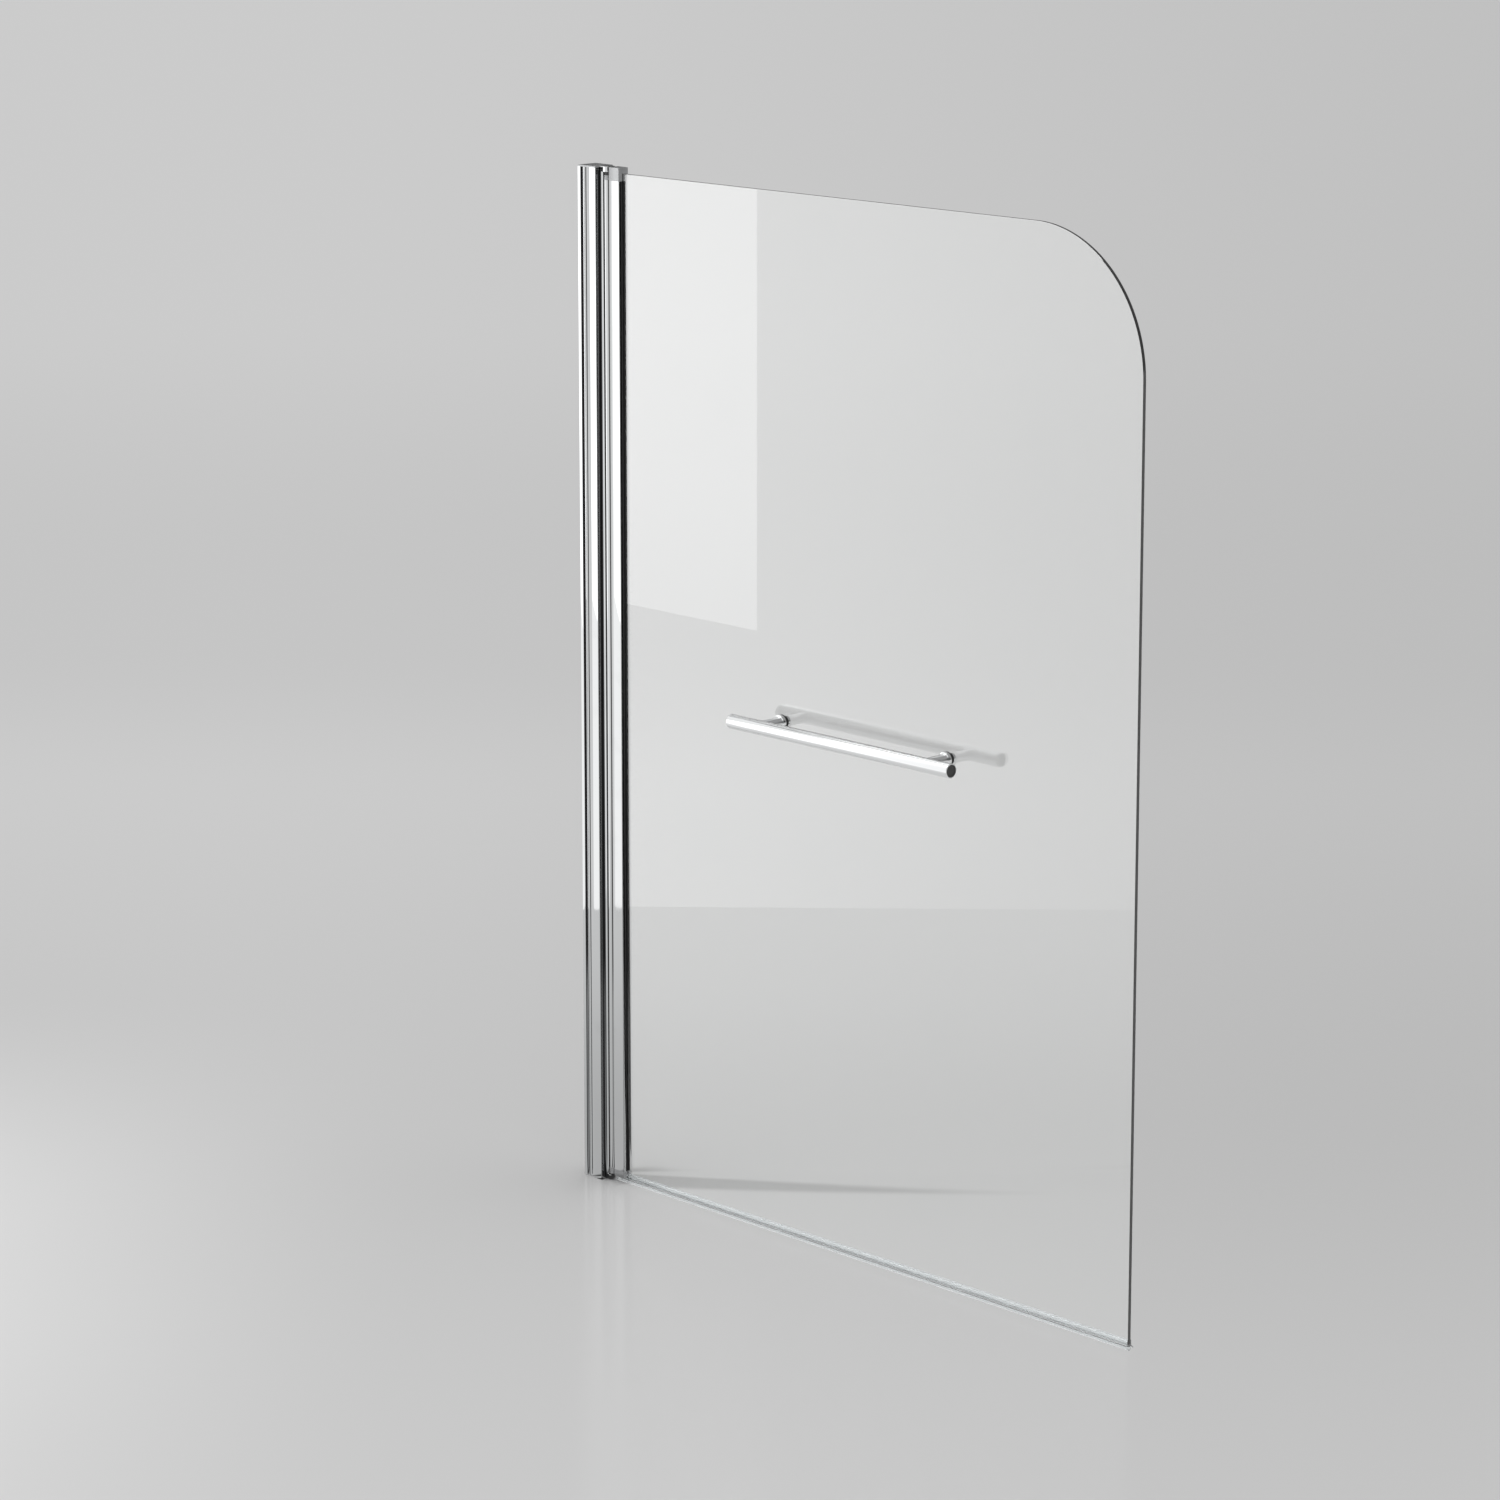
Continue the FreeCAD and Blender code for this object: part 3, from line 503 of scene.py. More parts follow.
class Graph:
    """The node tree of a material or of the world."""

    def __init__(self, tree: bpy.types.NodeTree) -> None:
        """Starts with an empty tree."""
        self.tree = tree
        tree.nodes.clear()

    def add(
        self,
        kind: str,
        settings: dict[str, object],
        values: dict[str | int, Value],
        output: str | int = 0,
    ) -> Wire:
        """Adds one node.

        Args:
            kind: the node's type.
            settings: its own settings, which are set first.
            values: numbers, colours or wires for its inputs, by name or index.
            output: the output to hand on, by name or index.

        Returns:
            That output as a wire.
        """
        node = self.tree.nodes.new(kind)
        for key, value in settings.items():
            setattr(node, key, value)
        for key, value in values.items():
            socket = node.inputs[key]
            if isinstance(value, Wire):
                self.tree.links.new(value.socket, socket)
            else:
                socket.default_value = value
        return Wire(self, node.outputs[output])

    def colour_mix(self, factor: Value, first: Value, second: Value) -> Wire:
        """Mixes two colours."""
        node = self.tree.nodes.new("ShaderNodeMix")
        node.data_type = "RGBA"
        for socket, value in zip((node.inputs[0], node.inputs[6], node.inputs[7]), (factor, first, second)):
            if isinstance(value, Wire):
                self.tree.links.new(value.socket, socket)
            else:
                socket.default_value = value
        return Wire(self, node.outputs[2])

    def place(self, scale: Sequence[float] = (1, 1, 1)) -> Wire:
        """Object coordinates, stretched by a scale on each axis."""
        where = self.add("ShaderNodeTexCoord", {}, {}, "Object")
        return self.add("ShaderNodeMapping", {}, {"Vector": where, "Scale": scale})

    def along(self, where: Wire, direction: Sequence[float]) -> Wire:
        """How far a place lies along a direction."""
        settings = {"operation": "DOT_PRODUCT"}
        return self.add("ShaderNodeVectorMath", settings, {0: where, 1: direction}, "Value")

    def distance(self, where: Wire, point: Sequence[float]) -> Wire:
        """How far a place lies from a point."""
        return self.add("ShaderNodeVectorMath", {"operation": "DISTANCE"}, {0: where, 1: point}, "Value")

    def turn(self, where: Wire) -> Wire:
        """The direction of a place seen from above, in radians from +X."""
        return self.along(where, (0, 1, 0)).angle_to(self.along(where, (1, 0, 0)))

    def path(self, output: str) -> Wire:
        """One value of the light's path."""
        return self.add("ShaderNodeLightPath", {}, {}, output)

    def mirror_ray(self) -> Wire:
        """1 for a ray with a mirror reflection on its way, 0 for plain rays and rays through glass."""
        return self.path("Glossy Depth").at_most(1.0)

    def noise(self, where: Wire, scale: float, detail: float = 2.0) -> Wire:
        """Noise from 0 to 1."""
        return self.add("ShaderNodeTexNoise", {}, {"Vector": where, "Scale": scale, "Detail": detail}, "Fac")

    def bump(self, height: Wire, strength: float, distance: float) -> Wire:
        """A bumped normal from a height value, with the distance in metres."""
        values = {"Height": height, "Strength": strength, "Distance": distance}
        return self.add("ShaderNodeBump", {}, values)

    def surface(self, values: dict[str | int, Value]) -> None:
        """Ends the tree with a Principled surface."""
        shader = self.add("ShaderNodeBsdfPrincipled", {}, values)
        self.add_output("ShaderNodeOutputMaterial", shader)

    def add_output(self, kind: str, shader: Wire) -> None:
        """Links a shader to the tree's output."""
        node = self.tree.nodes.new(kind)
        self.tree.links.new(shader.socket, node.inputs["Surface"])


def rgba(*parts: float) -> tuple[float, float, float, float]:
    """A colour of three parts with full cover."""
    return (*parts, 1.0)


def grey(level: float) -> tuple[float, float, float, float]:
    """A grey with full cover."""
    return rgba(level, level, level)


@dataclass(frozen=True)
class Finish:
    """A finish of the screen: its material slot, name and main numbers."""

    slot: str
    name: str

    def material(self) -> bpy.types.Material:
        """The finish's material, made once."""
        found = bpy.data.materials.get(self.name)
        if found is None:
            found = bpy.data.materials.new(self.name)
            found.use_nodes = True
            self.dress(Graph(found.node_tree))
        return found

    def dress(self, graph: Graph) -> None:
        """Fills the material's node tree."""
        raise NotImplementedError


@dataclass(frozen=True)
class Chrome(Finish):
    """Bright plating with the faintest draw lines and a few dull water marks."""

    tint: tuple[float, float, float] = (0.52, 0.527, 0.53)
    grain: tuple[float, float, float] = (900.0, 900.0, 3.0)
    base_roughness: float = 0.02

    def dress(self, graph: Graph) -> None:
        """Plating, draw lines along the grain and soft marks."""
        marks = graph.noise(graph.place(), 26.0, 4.0).smooth(0.52, 0.78)
        draw_lines = graph.noise(graph.place(self.grain), 1.0, 2.0)
        dull = tuple(0.93 * part for part in self.tint)
        graph.surface({
            "Base Color": graph.colour_mix(marks * 0.6, rgba(*self.tint), rgba(*dull)),
            "Metallic": 1.0,
            "Roughness": self.base_roughness + 0.03 * marks + 0.012 * draw_lines,
            "Normal": graph.bump(draw_lines, 0.02, 0.00002),
        })


@dataclass(frozen=True)
class Steel(Finish):
    """Plain turned steel."""

    def dress(self, graph: Graph) -> None:
        """Uneven grey with fine turning marks."""
        grain = graph.noise(graph.place((1200.0, 1200.0, 1200.0)), 1.0, 3.0)
        graph.surface({
            "Base Color": graph.colour_mix(grain, rgba(0.50, 0.50, 0.49), rgba(0.64, 0.64, 0.63)),
            "Metallic": 1.0,
            "Roughness": 0.24 + 0.14 * grain,
            "Normal": graph.bump(grain, 0.15, 0.00003),
        })


@dataclass(frozen=True)
class ClearGlass(Finish):
    """Polished safety glass with a hint of green."""

    def dress(self, graph: Graph) -> None:
        """Clear body with very slight surface haze."""
        haze = graph.noise(graph.place(), 5.0, 3.0).smooth(0.55, 0.85)
        graph.surface({
            "Base Color": graph.colour_mix(haze, rgba(0.99, 0.997, 0.993), rgba(0.98, 0.992, 0.988)),
            "Roughness": 0.003 * haze,
            "IOR": 1.5,
            "Transmission Weight": 1.0,
            "Coat Weight": 1.0 - 0.1 * haze,
            "Coat Roughness": 0.0,
        })


@dataclass(frozen=True)
class ClearVinyl(Finish):
    """Soft clear strip with extrusion lines and a blue-green tint."""

    def dress(self, graph: Graph) -> None:
        """Tinted, slightly cloudy plastic."""
        ridges = graph.noise(graph.place((6.0, 900.0, 900.0)), 1.0, 2.0)
        cloud = graph.noise(graph.place(), 60.0, 3.0)
        graph.surface({
            "Base Color": graph.colour_mix(cloud, rgba(0.98, 0.995, 1.0), rgba(0.945, 0.975, 0.985)),
            "Roughness": 0.02 + 0.05 * cloud,
            "IOR": 1.38,
            "Transmission Weight": 0.96,
            "Normal": graph.bump(ridges, 0.06, 0.00005),
        })


@dataclass(frozen=True)
class ClearSleeve(Finish):
    """Cloudy plastic of the sleeves in the glass."""

    def dress(self, graph: Graph) -> None:
        """Milky see-through plastic."""
        cloud = graph.noise(graph.place(), 300.0, 2.0)
        graph.surface({
            "Base Color": graph.colour_mix(cloud, rgba(0.80, 0.82, 0.82), rgba(0.70, 0.72, 0.72)),
            "Roughness": 0.2 + 0.15 * cloud,
            "IOR": 1.45,
            "Transmission Weight": 0.7,
        })


@dataclass(frozen=True)
class Moulded(Finish):
    """Moulded plastic or rubber with a fine eggshell surface."""

    tint: tuple[float, float, float] = (0.5, 0.5, 0.5)
    gloss: float = 0.3
    speck: float = 900.0
    metal: float = 0.0

    def dress(self, graph: Graph) -> None:
        """Eggshell grain, slight colour drift and a touch of rubbed shine."""
        grain = graph.noise(graph.place(), self.speck, 2.0)
        drift = graph.noise(graph.place(), 35.0, 3.0)
        pale = tuple(min(1.0, 1.18 * part + 0.004) for part in self.tint)
        graph.surface({
            "Base Color": graph.colour_mix(drift, rgba(*self.tint), rgba(*pale)),
            "Roughness": self.gloss - 0.05 + 0.12 * drift,
            "Metallic": self.metal,
            "Normal": graph.bump(grain, 0.2, 0.00004),
        })


PROFILE_CHROME = Chrome("chrome_profile", "chrome_of_profiles")
BAR_CHROME = Chrome("chrome_bar", "chrome_of_bar", (0.74, 0.75, 0.755), (3.0, 900.0, 900.0))
GLASS = ClearGlass("clear_glass", "clear_safety_glass")
VINYL = ClearVinyl("clear_vinyl", "clear_rim_vinyl")
CAP_GREY = Moulded("grey_cap", "silver_grey_cap", (0.33, 0.335, 0.34), 0.22, metal=0.4)
RUBBER = Moulded("black_rubber", "black_rubber", (0.012, 0.012, 0.012), 0.55)
NYLON = Moulded("black_nylon", "black_nylon", (0.016, 0.016, 0.017), 0.34)
STEEL = Steel("steel_screw", "steel_of_screws")
SLEEVE = ClearSleeve("clear_sleeve", "cloudy_sleeve")
FINISHES = (PROFILE_CHROME, BAR_CHROME, GLASS, VINYL, CAP_GREY, RUBBER, NYLON, STEEL, SLEEVE)


# --- wall side and pivot post


@dataclass
class WallSide:
    """The channel on the wall and its cover plate. Sizes in millimetres."""

    height: float = 1400.0
    half_width: float = 16.0
    depth: float = 35.0
    floor: float = 13.5
    plate: float = 2.0
    slot_heights: tuple[float, ...] = (200.0, 700.0, 1200.0)

    def channel(self) -> None:
        """Extrusion with a bead strip, step, fine groove and crowned face."""
        half, deep, floor = self.half_width, self.depth, self.floor
        crown_radius = 25.45
        extrusion = Solid.prism(
            (0, -half),
            [
                *lines((4.9, -half)),
                Arc(4.9, -15.6, 90, 30),
                *lines((5.3, -floor), (8.8, -floor), (8.8, -12.8), (9.8, -12.8), (9.8, -floor), (12.5, -floor)),
                Arc(23.5, crown_radius - half, 25.61, 2),
                Line(34, -half),
                Arc(34, -15, 90, 15),
                *lines(
                    (deep, -9.3), (33.2, -9.3), (33.2, -11.7), (2.5, -11.7),
                    (2.5, 14.2), (33.2, 14.2), (33.2, 9.3), (deep, 9.3), (deep, 15),
                ),
                Arc(34, 15, 90, 15),
                Line(0, half),
            ],
            0,
            self.height - self.plate,
        )
        slots = [
            Solid.prism((15, z - 2.3), [Line(30, z - 2.3), Arc(30, z, 180), Line(15, z + 2.3), Arc(15, z, 180)], 0, 5)
            .place(Plane.BEHIND, (0, 12, 0))
            for z in self.slot_heights
        ]
        for slot in slots:
            bmesh.ops.scale(slot.bm, vec=(-1, 1, 1), verts=slot.bm.verts[:])
            slot.outward()
        holes = [rod(2.6, -1, 4).place(Plane.END, (0, 0, z)) for z in (100, 500, 900, 1300)]
        extrusion.cut(*slots, *holes)
        extrusion.piece("channel_extrusion", PROFILE_CHROME, Body.WALL_SIDE, ["wall_channel"])

    def cover_plate(self) -> None:
        """Cover on the channel's upper end, with softened edges."""
        half, deep = self.half_width, self.depth
        plate = Solid.prism(
            (0, -half),
            [Line(34, -half), Arc(34, -15, 90, 15), Line(deep, 15), Arc(34, 15, 90, 15), Line(0, half)],
            self.height - self.plate,
            self.height,
        )
        plate.level_bevel(0.5, self.height)
        plate.piece("channel_cover_plate", CAP_GREY, Body.WALL_SIDE, ["wall_channel_top_cap"])

    def build(self) -> None:
        """Makes both pieces."""
        self.channel()
        self.cover_plate()


@dataclass
class PivotPost:
    """The post that slides in the channel, its end castings and its screw covers."""

    axis_x: float = 44.0
    low: float = 7.5
    high: float = 1393.0
    nose: float = 8.7
    boss: float = 8.4
    cover_heights: tuple[float, ...] = (200.0, 700.0, 1200.0)

    def extrusion(self) -> None:
        """Guide fins and a nose that is hollow round the barrel."""
        nose = self.nose
        shape = Solid.prism(
            (12, -11.4),
            [
                *lines((18, -11.4), (18, -nose), (35.3, -nose)),
                Arc(35.3, 11.1, 16.6, 2),
                Arc(40.84, -7.51, 73.4, 25),
                Line(41.2, -7.387),
                Arc(self.axis_x, 0, -60.2, 5),
                *lines((34, -1.25), (34, 1.25), (36.2, 1.25)),
                Arc(self.axis_x, 0, -60.2, 5),
                Line(41.2, 7.51),
                Arc(40.84, 7.51, 73.4, 25),
                Arc(35.3, -11.1, 16.6, 2),
                *lines((18, nose), (18, 13.9), (12, 13.9)),
            ],
            self.low,
            self.high,
        )
        shape.piece("post_extrusion", PROFILE_CHROME, Body.PIVOT_POST, ["pivot_profile"])

    def screw_covers(self) -> None:
        """Low domed caps over the adjusting screws."""
        covers = Solid()
        for z in self.cover_heights:
            covers.add(
                Solid.turned(
                    (0, 2.9),
                    [*lines((4.5, 2.9), (4.5, 0), (5.2, 0), (5.2, 2.6)), Arc(4.2, 2.6, 90, 15), Line(0, 3.6)],
                    40,
                ).place(Plane.BEHIND, (15, 16.1, z))
            )
        covers.piece("screw_covers", PROFILE_CHROME, Body.PIVOT_POST, ["adjusting_screw_covers"])

    def bracket(self, name: str, low: float, high: float, arm_high: float, node: str, bevels: float) -> None:
        """An end casting: arm in the channel, boss about the pivot axis.

        Args:
            name: the piece's name.
            low: the casting's underside.
            high: the boss's upper side.
            arm_high: the arm's upper side.
            node: the CAD node it stands for.
            bevels: the level whose edges are rounded.
        """
        half, x = self.boss, self.axis_x
        boss = Solid.prism(
            (35.3, -half), [Line(x, -half), Arc(x, 0, 180, 6), Line(35.3, half)], low, high, [(x, 0, 2.55)]
        )
        boss.level_bevel(0.7, bevels)
        boss.add(box((12, -half, low), (35.3, half, arm_high)))
        boss.piece(name, PROFILE_CHROME, Body.PIVOT_POST, [node])

    def build(self) -> None:
        """Makes the post's pieces."""
        self.extrusion()
        self.screw_covers()
        self.bracket("upper_casting", self.high, 1400.0, 1397.7, "top_pivot_bracket", 1400.0)
        self.bracket("lower_casting", 0.5, self.low, self.low, "bottom_pivot_bracket", 0.5)


# --- glass leaf


@dataclass
class ClampAndCaps:
    """The profile that grips the glass, its end caps, bushes and set screws."""

    axis_x: float = 44.0
    jaw_x: float = 53.0
    jaw_end: float = 73.0
    half: float = 8.5
    edge: float = 0.9
    slot_x: float = 57.0
    slot_half: float = 4.7
    low: float = 18.0
    high: float = 1382.0
    grub_heights: tuple[float, ...] = (140.0, 420.0, 700.0, 980.0, 1260.0)

    def jaw(self, way: int) -> list[Run]:
        """Runs round a jaw's two corners: the front jaw for 1, the rear jaw for -1."""
        near, far = (self.jaw_x, self.jaw_end)[::way]
        edge, y = way * self.edge, way * (self.edge - self.half)
        return [
            Line(near, y),
            Arc(near + edge, y, 90, 15),
            Line(far - edge, -way * self.half),
            Arc(far - edge, y, 90, 15),
        ]

    def outline(self, slotted: bool) -> tuple[Point, list[Run]]:
        """The whole section: barrel, neck and jaws.

        Args:
            slotted: whether the glass slot is cut in.

        Returns:
            The start point and the runs.
        """
        neck, neck_x = 2.3, 51.139
        slot = lines(
            (self.jaw_end, -self.slot_half),
            (self.slot_x, -self.slot_half),
            (self.slot_x, self.slot_half),
            (self.jaw_end, self.slot_half),
        )
        runs = [
            Line(self.jaw_x, -neck),
            *self.jaw(1),
            *(slot if slotted else []),
            *self.jaw(-1),
            Line(self.jaw_x, neck),
            Line(neck_x, neck),
            Arc(self.axis_x, 0, 324.28, 6),
        ]
        return (neck_x, -neck), runs

    def extrusion(self) -> None:
        """Barrel, neck and two jaws in one, drilled for the set screws."""
        start, runs = self.outline(True)
        middle = (self.jaw_x + self.jaw_end) / 2
        holes = [rod(2.55, 4.2, 9.5).place(Plane.BEHIND, (middle, 0, z)) for z in self.grub_heights]
        shape = Solid.prism(start, runs, self.low, self.high).cut(*holes)
        shape.piece("clamp_extrusion", PROFILE_CHROME, Body.GLASS_LEAF, ["clamp_profile"])

    def set_screws(self) -> None:
        """Socket set screws in the rear jaw."""
        middle = (self.jaw_x + self.jaw_end) / 2
        screws = Solid()
        for z in self.grub_heights:
            screws.add(socket_head(2.5, 3.4, 0.3, 2.5, 2.0).place(Plane.BEHIND, (middle, self.slot_half, z)))
        screws.piece("set_screws", STEEL, Body.GLASS_LEAF, ["clamp_grub_screws"])

    def cap(self, name: str, collar: Point, block: Point, slot: Point, bevelled: float, node: str) -> None:
        """An end cap with a collar on the barrel and a block over the jaws.

        Args:
            name: the piece's name.
            collar: lower and upper end of the collar.
            block: lower and upper end of the block.
            slot: lower and upper end of the glass slot.
            bevelled: the level whose edges are rounded.
            node: the CAD node it stands for.
        """
        start, runs = self.outline(False)
        corner = (self.jaw_x, self.half - self.edge)
        over = Solid.prism(corner, [*self.jaw(1), *self.jaw(-1)], *block)
        over.level_bevel(0.6, bevelled)
        shape = Solid.prism(start, runs, *collar, [(self.axis_x, 0, 4.04)])
        glass_way = box((self.slot_x, -2.55, slot[0]), (self.jaw_end + 1, 2.55, slot[1]))
        low, high = max(collar[0], block[0]), min(collar[1], block[1])
        shared = box((self.jaw_x - 0.02, -9, low - 1), (self.jaw_end + 1, 9, high + 1))
        shape.cut(shared)
        over.cut(glass_way)
        over.add(shape)
        over.piece(name, CAP_GREY, Body.GLASS_LEAF, [node])

    def bush(self, name: str, flange: Point, sleeve: Point, node: str) -> None:
        """A flanged bush with a softened rim.

        Args:
            name: the piece's name.
            flange: lower and upper end of the flange.
            sleeve: lower and upper end of the sleeve.
            node: the CAD node it stands for.
        """
        ring = soft_ring(2.55, 7, *flange, 0.45, 56)
        tube = Solid.turned((2.55, sleeve[0]), lines((4, sleeve[0]), (4, sleeve[1]), (2.55, sleeve[1])), 40, True)
        ring.add(tube).place(Plane.LEVEL, (self.axis_x, 0, 0))
        ring.piece(name, NYLON, Body.GLASS_LEAF, [node])

    def build(self) -> None:
        """Makes the clamp's pieces."""
        self.extrusion()
        self.set_screws()
        self.cap("upper_clamp_cap", (1382.0, 1388.3), (1382.0, 1400.0), (1381.0, 1392.05), 1400.0, "clamp_top_cap")
        self.cap("lower_clamp_cap", (9.1, 18.0), (8.0, 18.0), (7.0, 19.0), 8.0, "clamp_bottom_cap")
        self.bush("black_ring", (1388.3, 1392.9), (1366.3, 1388.3), "top_bush")
        self.bush("lower_ring", (7.6, 9.1), (9.1, 31.1), "bottom_bush")


@dataclass
class PaneAndSeal:
    """The pane with its polished edges and the clear strip under it."""

    start_x: float = 57.6
    reach: float = 1000.0
    low: float = 8.0
    high: float = 1392.0
    corner: float = 180.0
    half: float = 2.5
    polish: float = 0.5
    holes: tuple[float, ...] = (380.0, 680.0)
    hole_height: float = 700.0

    def pane(self) -> None:
        """Flat pane with a rounded upper corner, two holes and bevelled rims."""
        pane = Solid.prism(
            (self.start_x, self.low),
            [
                Line(self.reach, self.low),
                Line(self.reach, self.high - self.corner),
                Arc(self.reach - self.corner, self.high - self.corner, 90, 1.5),
                Line(self.start_x, self.high),
            ],
            self.polish - self.half,
            self.half - self.polish,
            [(x, self.hole_height, 6.0) for x in self.holes],
            48,
        )
        for side in (-1, 1):
            bmesh.ops.inset_region(
                pane.bm,
                faces=[face for face in pane.bm.faces if face.normal.z * side > 0.99],
                thickness=self.polish,
                depth=self.polish,
                use_boundary=True,
                use_even_offset=True,
            )
        glass = pane.place(Plane.FACE).piece("glass_pane", GLASS, Body.GLASS_LEAF, ["glass_panel"])
        let_light_through(glass)

    def seal(self) -> None:
        """Clear strip: two lips, base, hollow bulb and drip fin."""
        side, base_low, base_top, fit = 3.75, 5.2, 7.7, 2.55
        fin = lines((7.25, 1.8), (8.15, 2.7), (side, 6.8))
        bulb = [Line(-side, base_low), Line(-1.442, base_low), Arc(0, 2.8, 298.0, 8), Line(side, base_low)]
        main = Solid.prism(
            (-side, 12.8),
            [*bulb, *fin, *lines((side, 12.8), (fit, 14), (fit, base_top), (-fit, base_top), (-fit, 14))],
            73.45,
            999.5,
            [(0, 2.8, 2.0)],
            24,
        )
        stub = Solid.prism((-side, base_top), [*bulb, *fin, Line(side, base_top)], 55.0, 73.45, [(0, 2.8, 2.0)], 24)
        main.add(stub).place(Plane.END)
        let_light_through(main.piece("rim_seal", VINYL, Body.GLASS_LEAF, ["bottom_seal"]))

    def build(self) -> None:
        """Makes both pieces."""
        self.pane()
        self.seal()


@dataclass
class TowelBar:
    """The bar on the front of the glass, its posts, washers and screws."""

    start_x: float = 330.0
    end_x: float = 730.0
    radius: float = 9.5
    wall: float = 1.2
    y: float = -47.0
    z: float = 700.0
    posts: tuple[float, ...] = (380.0, 680.0)
    stem: float = 7.2
    flange: float = 10.0

    def tube(self) -> None:
        """Tube with softened ends."""
        shape = soft_ring(self.radius - self.wall, self.radius, self.start_x, self.end_x, 0.45, 72)
        shape.place(Plane.END, (0, self.y, self.z)).piece("bar_tube", BAR_CHROME, Body.GLASS_LEAF, ["towel_bar"])

    def plugs(self) -> None:
        """Dished end plugs, set in a little."""
        radius, inset, deep = self.radius - self.wall - 0.04, 0.8, 9.0
        for name, outer_x, way in (("left", self.start_x + inset, 1), ("right", self.end_x - inset, -1)):
            dish, rim, end = outer_x + 0.5 * way, outer_x + 0.3 * way, outer_x + deep * way
            face = lines((radius - 2.2, dish), (radius - 1.7, outer_x), (radius - 0.3, outer_x))
            disc = Solid.turned((0, dish), [*face, *lines((radius, rim), (radius, end), (0, end))], 56)
            disc.place(Plane.END, (0, self.y, self.z))
            disc.piece(f"bar_plug_{name}", NYLON, Body.GLASS_LEAF, [f"bar_end_plug_{name}"])

    def post(self, name: str, x: float) -> None:
        """Turned post whose stem is cut to the bar's curve.

        Args:
            name: left or right.
            x: the post's place along the glass.
        """
        end = 40.9
        shape = Solid.turned(
            (3.05, 4.5),
            [
                Line(self.flange - 0.5, 4.5),
                Arc(self.flange - 0.5, 5.0, 90, 22.5),
                Line(self.flange, 8.9),
                Arc(self.flange - 0.6, 8.9, 90, 22.5),
                *lines((8.6, 9.75), (7.8, 10.7), (self.stem, 12.0), (self.stem, end), (3.05, end)),
            ],
            72,
            True,
        )
        for vert in shape.bm.verts:
            if vert.co.z > end - 0.01:
                vert.co.z = -self.y - math.sqrt((self.radius + 0.05) ** 2 - vert.co.y**2)
        shape.place(Plane.FACE, (x, 0, self.z))
        shape.piece(f"bar_post_{name}", BAR_CHROME, Body.GLASS_LEAF, [f"handle_post_{name}"])

    def washers(self) -> None:
        """Soft rings on both sides of the glass."""
        for name, outer, plane, node in (
            ("front_rings", self.flange, Plane.FACE, "front_washers"),
            ("rear_rings", 7.5, Plane.BEHIND, "rear_washers"),
        ):
            rings = Solid()
            for x in self.posts:
                rings.add(soft_ring(3.05, outer, 2.5, 4.5, 0.4, 56).place(plane, (x, 0, self.z)))
            rings.piece(name, RUBBER, Body.GLASS_LEAF, [node])

    def screws(self) -> None:
        """Domed socket screws behind the glass."""
        screws = Solid()
        for x in self.posts:
            head = socket_head(6.5, 5.0, 1.7, 4.0, 2.6).place(Plane.BEHIND, (x, 4.5, self.z))
            shank = rod(3.0, -18.5, 4.5).place(Plane.BEHIND, (x, 0, self.z))
            screws.add(head, shank)
        screws.piece("rear_socket_screws", BAR_CHROME, Body.GLASS_LEAF, ["rear_screws"])

    def build(self) -> None:
        """Makes the bar's pieces."""
        self.tube()
        self.plugs()
        for name, x in zip(("left", "right"), self.posts):
            self.post(name, x)
        self.washers()
        self.screws()


# --- studio


@dataclass(frozen=True)
class DarkSector:
    """A dark side of the reflected studio, in degrees from +X seen from above; on the floor it is a painted dark
    reflection.
    """

    middle: float
    half: float
    soft: float
    light: float
    also_far: bool = False

    def over(self, graph: Graph, turn: Wire, share: Wire, light: Wire) -> Wire:
        """Darkens a light inside the sector.

        Args:
            graph: the tree to add to.
            turn: the direction, in radians.
            share: how much of the darkening counts.
            light: the light without it.

        Returns:
            The light with it.
        """
        cover = turn.sector(self.middle, self.half, self.soft) * share
        return graph.colour_mix(cover, light, grey(self.light))


